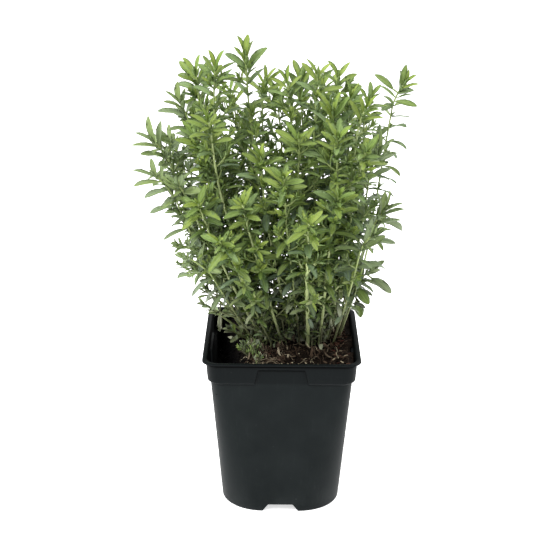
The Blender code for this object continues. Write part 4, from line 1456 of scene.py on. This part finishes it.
def curled_leaves(rng):
    """Withered pale leaves that hang curled among the feet of the stems, and one in the hollow."""
    leaves = []
    for _ in range(CURLED_LEAVES):
        x, y, along, across, length = lying_leaf(rng, ((-26, 38), (-8, 30)), (-0.1, 1.2), (7, 14))
        root, width = on_soil(x, y, rng.uniform(1, 14)), rng.uniform(1.8, 3.2) * MM
        leaf = loose_leaf(root, along, across, length, width, rng.uniform(50, 170), rng)
        leaf["pale"] = rng.uniform(0.35, 1)
        leaf["twist"] = math.radians(rng.uniform(-70, 70))
        leaves.append(leaf)
    root, tip = FALLEN_LEAF
    along = (tip - root).normalized()
    across = LIGHT_SIDE.cross(along).normalized()
    fallen = loose_leaf(root, along, across, (tip - root).length, FALLEN_WIDTH, 14, rng)
    fallen["pale"] = 0.9
    return leaves + [fallen]


def make_ground_shoots(finishes):
    """Young shoots from the compost, with small and partly round leaves, and the curled leaves."""
    rng = random.Random(SEED * 3)
    tubes, leaves = [], []
    for number in range(GROUND_SHOOTS):
        patch = LOBE if number < LOBE_SHOOTS else FOOT
        x, y = rng.uniform(*patch["x"]), rng.triangular(*patch["y"])
        if abs(x - THICK_STEM_X) < CLEAR_HALF and y < CLEAR_TO_Y:
            continue
        lean = patch["lean"] if x < UPRIGHT_FROM_X else 0.0
        axis = Vector((rng.uniform(-0.7, lean), rng.uniform(-0.6, 0.3), 1)).normalized()
        sideways = axis.cross(Vector((rng.uniform(-1, 1), 1, 0))).normalized()
        length = rng.uniform(GROUND_LEAST, GROUND_MOST) * patch["length"]
        shoot = Shoot(on_soil(x, y, -1.5), axis, sideways, length, rng, rng.uniform(-35, 35))
        radii = np.linspace(1.3, 0.6, len(shoot.line)) * SHOOT_RADIUS
        tubes.append(tube(shoot.line, radii, 4, 0, rng.uniform(0, 0.9)))
        size, roundness = rng.uniform(*patch["size"]), rng.uniform(*patch["roundness"])
        made = young_leaves(shoot, rng, size, roundness, rng.choice((0.0, 0.1, 0.2, 0.5)))
        fresh = patch["fresh"] > 0 and rng.random() < patch["fresh"]
        for leaf in made:
            leaf["youth"] = max(leaf["youth"], 0.9) if fresh else 0.5 * leaf["youth"]
            leaf["dull"] = 0.0 if fresh else leaf["dull"]
            leaf["pale"] = rng.random() ** 2 * (0.3 if fresh else 0.85)
        leaves += made
    leaves += curled_leaves(rng)
    return put_foliage("ground_shoots", [(leaves, SHOOT_STATIONS, BLADE_RING)], tubes, finishes)


def scattered(rng, count, low, high):
    """Random places on the compost between two corners in millimetres."""
    x = rng.uniform(low[0], high[0], count) * MM
    y = rng.uniform(low[1], high[1], count) * MM
    return np.stack([x, y, soil_height(x, y)], -1)


def make_chips(material):
    """Bark chips: flat shards of three jagged rings between two blunt points.

    A ring's point at the angle q stands at (cos q * width, sin q * thickness) / 2, times the ring's
    share of the full size, and every point is then moved a little at random.
    """
    rng = np.random.default_rng(SEED)
    middle = scattered(rng, CHIPS, (-LITTER_HALF, -LITTER_HALF), (LITTER_HALF, LITTER_HALF))
    half = rng.uniform(CHIP_LEAST, CHIP_MOST, (CHIPS, 3)) / 2
    middle[:, 2] += 0.6 * half[:, 2] + rng.uniform(0, 0.7 * MM, CHIPS)
    yaw, pitch = rng.uniform(0, 2 * math.pi, CHIPS), rng.normal(0, 0.28, CHIPS)
    forward = np.stack([np.cos(yaw) * np.cos(pitch), np.sin(yaw) * np.cos(pitch), np.sin(pitch)], -1)
    aside = unit(np.stack([-np.sin(yaw), np.cos(yaw), rng.normal(0, 0.25, CHIPS)], -1))
    turned = np.stack([forward, aside, np.cross(forward, aside)], 1)
    angles = np.arange(CHIP_SIDES) * 2 * math.pi / CHIP_SIDES
    local = [(place, size * math.cos(q), size * math.sin(q)) for place, size in CHIP_RINGS for q in angles]
    local = np.array(local + [(-1, 0, 0), (1, 0, 0)])
    shape = local[None] + rng.uniform(-CHIP_JAGS, CHIP_JAGS, (CHIPS, len(local), 3))
    points = middle[:, None] + (shape * half[:, None]) @ turned
    quads, ends = capped(len(CHIP_RINGS), CHIP_SIDES)
    one = np.concatenate([triangles(quads[:, ::-1]), ends[:, ::-1]])
    by_right_wall = ease(middle[:, 0], 30 * MM, 46 * MM)
    by_left_edge = ease(6 * MM - middle[:, 0], 0, 12 * MM) * ease(-4 * MM - middle[:, 1], 0, 8 * MM)
    tone = np.clip(rng.beta(0.55, 2.4, CHIPS) + 0.25 * by_left_edge, 0, 0.8)
    in_front = ease(-middle[:, 1], 18 * MM, 34 * MM)
    at_lobe = in_front * ease(-middle[:, 0], 6 * MM, 14 * MM)
    anywhere, more_in_front, more_at_lobe = STRAW_SHARES
    straw = rng.random(CHIPS) < anywhere + more_in_front * in_front + more_at_lobe * at_lobe
    straw = straw & (2 * half[:, 0] < STRAW_LONGEST)
    tone = np.where(straw, rng.uniform(0.8, 1, CHIPS), tone)
    anywhere, more_at_wall = RED_SHARES
    red = (rng.random(CHIPS) < anywhere + more_at_wall * by_right_wall) * rng.uniform(0.3, 0.9, CHIPS)
    # Chips in the hollow lose their tone and redness and darken: painted shade
    slant = -middle[:, 0] - SLUMP_SLANT * middle[:, 1]
    hollow = ease(slant, -SLUMP_FROM_X - 4 * MM, -SLUMP_FROM_X + 2 * MM)
    looks = {"tone": tone * (1 - 0.95 * hollow), "red": red * (1 - hollow), "deep": hollow}
    looks = {key: np.repeat(values, len(local)) for key, values in looks.items()}
    faces = repeated(one, len(local), CHIPS)
    return put_mesh("bark_chips", points.reshape(-1, 3), faces, material, smooth=False, **looks)


def make_fibres(material):
    """Root fibres, thin tubes that wander over the compost, and one forked dry twig.

    Each heads a random way, turns a little at every step and arches up between its ends. Where the
    compost's edge stops it, a hair's breadth still keeps its points apart.
    """
    rng = np.random.default_rng(SEED + 1)
    share = np.linspace(0, 1, FIBRE_KNOTS)
    parts, tones = [], []
    for number in range(FIBRES):
        at_edge = number < FIBRES // 3
        low, high = ((-26, -40), (6, -4)) if at_edge else ((-30, -44), (45, 34))
        start = scattered(rng, 1, low, high)[0]
        heading = rng.uniform(0, 2 * math.pi) + np.cumsum(rng.normal(0, 0.45, FIBRE_KNOTS))
        step = rng.uniform(FIBRE_LEAST, FIBRE_MOST) / FIBRE_KNOTS
        x = np.clip(start[0] + np.cumsum(np.cos(heading)) * step, -30 * MM, LITTER_HALF * MM)
        y = np.clip(start[1] + np.cumsum(np.sin(heading)) * step, -LITTER_HALF * MM, LITTER_HALF * MM)
        arch = rng.uniform(0, 2.2 * MM) * np.sin(math.pi * share)
        z = soil_height(x, y) + 0.4 * MM + arch
        radius = rng.uniform(0.1, 0.26) * MM
        x = x + 0.01 * MM * np.arange(FIBRE_KNOTS)
        part = tube(np.stack([x, y, z], -1), radius * (1.2 - 0.8 * share), 4, 0)
        parts.append(part)
        tones.append(np.full(len(part["points"]), 0.2 + 0.8 * rng.random() ** 2.2))
    for line in DRY_TWIG:
        points = np.array(line) * MM
        part = tube(points, np.linspace(0.55, 0.35, len(points)) * MM, 5, 0)
        parts.append(part)
        tones.append(np.full(len(part["points"]), 0.95))
    whole = joined(parts)
    zero = 0 * whole["youth"]
    return put_mesh("root_fibres", whole["points"], whole["faces"], material,
                    tone=np.concatenate(tones), red=zero, deep=zero)


def make_dry_leaves(material):
    """Dry curled leaves that lie on the compost."""
    rng = random.Random(SEED * 5)
    leaves = []
    for _ in range(DRY_LEAVES):
        x, y, along, across, length = lying_leaf(rng, ((-26, 44), (-34, 30)), (0.05, 0.7), (4, 9.5))
        width, droop = length * rng.uniform(0.22, 0.36), rng.uniform(30, 150)
        leaf = loose_leaf(on_soil(x, y, 0.5), along, across, length, width, droop, rng)
        leaf["twist"] = math.radians(rng.uniform(-90, 90))
        leaf["fold"] = rng.uniform(0.4, 1)
        leaves.append(leaf)
    whole = blades(leaves, TUFT_STATIONS, BLADE_RING)
    tone = 0.3 + 0.65 * whole["tint"] ** 1.5
    zero = 0 * tone
    return put_mesh("dry_leaves", whole["points"], whole["faces"], material, tone=tone, red=zero, deep=zero)


def set_camera():
    """The photograph's view: its distance, its angle from above and its slight roll."""
    data = bpy.data.cameras.new("photo_view")
    data.sensor_width = SENSOR_WIDTH
    data.lens = FOCAL_PIXELS * SENSOR_WIDTH / PHOTO_SIDE
    camera = add_object("photo_view", data)
    forward = Vector((0, math.cos(VIEW_ELEVATION), -math.sin(VIEW_ELEVATION)))
    right = Vector((1, 0, 0))
    up = right.cross(forward)
    turned = right * math.cos(VIEW_ROLL) + up * math.sin(VIEW_ROLL)
    upright = up * math.cos(VIEW_ROLL) - right * math.sin(VIEW_ROLL)
    place = VIEW_TARGET - forward * VIEW_DISTANCE
    turn = Matrix((turned, upright, -forward)).transposed().to_4x4()
    camera.matrix_world = Matrix.Translation(place) @ turn
    bpy.context.scene.camera = camera


def add_softbox(name, place, width, energy):
    """A square area light that faces the middle of the plant."""
    data = bpy.data.lights.new(name, "AREA")
    data.size = width
    data.energy = energy
    turn = (LIGHT_AIM - Vector(place)).to_track_quat("-Z", "Y").to_matrix().to_4x4()
    add_object(name, data).matrix_world = Matrix.Translation(place) @ turn


def set_studio():
    """White floor, even pale surroundings and four soft lights."""
    corners = np.array([[-1, -1, 0], [1, -1, 0], [1, 1, 0], [-1, 1, 0]]) * FLOOR_HALF
    floor = put_mesh("studio_floor", corners, np.array([[0, 1, 2, 3]]), floor_paint())
    world = bpy.data.worlds.new("studio")
    world.use_nodes = True
    background = world.node_tree.nodes["Background"]
    background.inputs["Color"].default_value = (1, 1, 1, 1)
    background.inputs["Strength"].default_value = WORLD_STRENGTH
    bpy.context.scene.world = world
    bpy.context.scene.view_settings.view_transform = "Standard"
    for name, (place, width, energy) in LIGHTS.items():
        add_softbox(name, place, width, energy)


def dress():
    """Makes every piece and ties it to the frame."""
    plastic, litter = plastic_paint(), litter_paint()
    finishes = leaf_paint(), stem_paint()
    pot, compost = make_pot(plastic), make_compost(compost_paint())
    pieces = {
        "black_plastic": [pot, make_pot_floor(plastic)],
        "compost": [compost, make_chips(litter), make_fibres(litter), make_dry_leaves(litter)],
        "foliage": [make_ground_shoots(finishes)],
    }
    pieces["foliage"] += [make_sprig(number, row, finishes) for number, row in enumerate(TIPS)]
    for slot, made in pieces.items():
        for piece in made:
            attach(piece, "root")


set_camera()
set_studio()
dress()
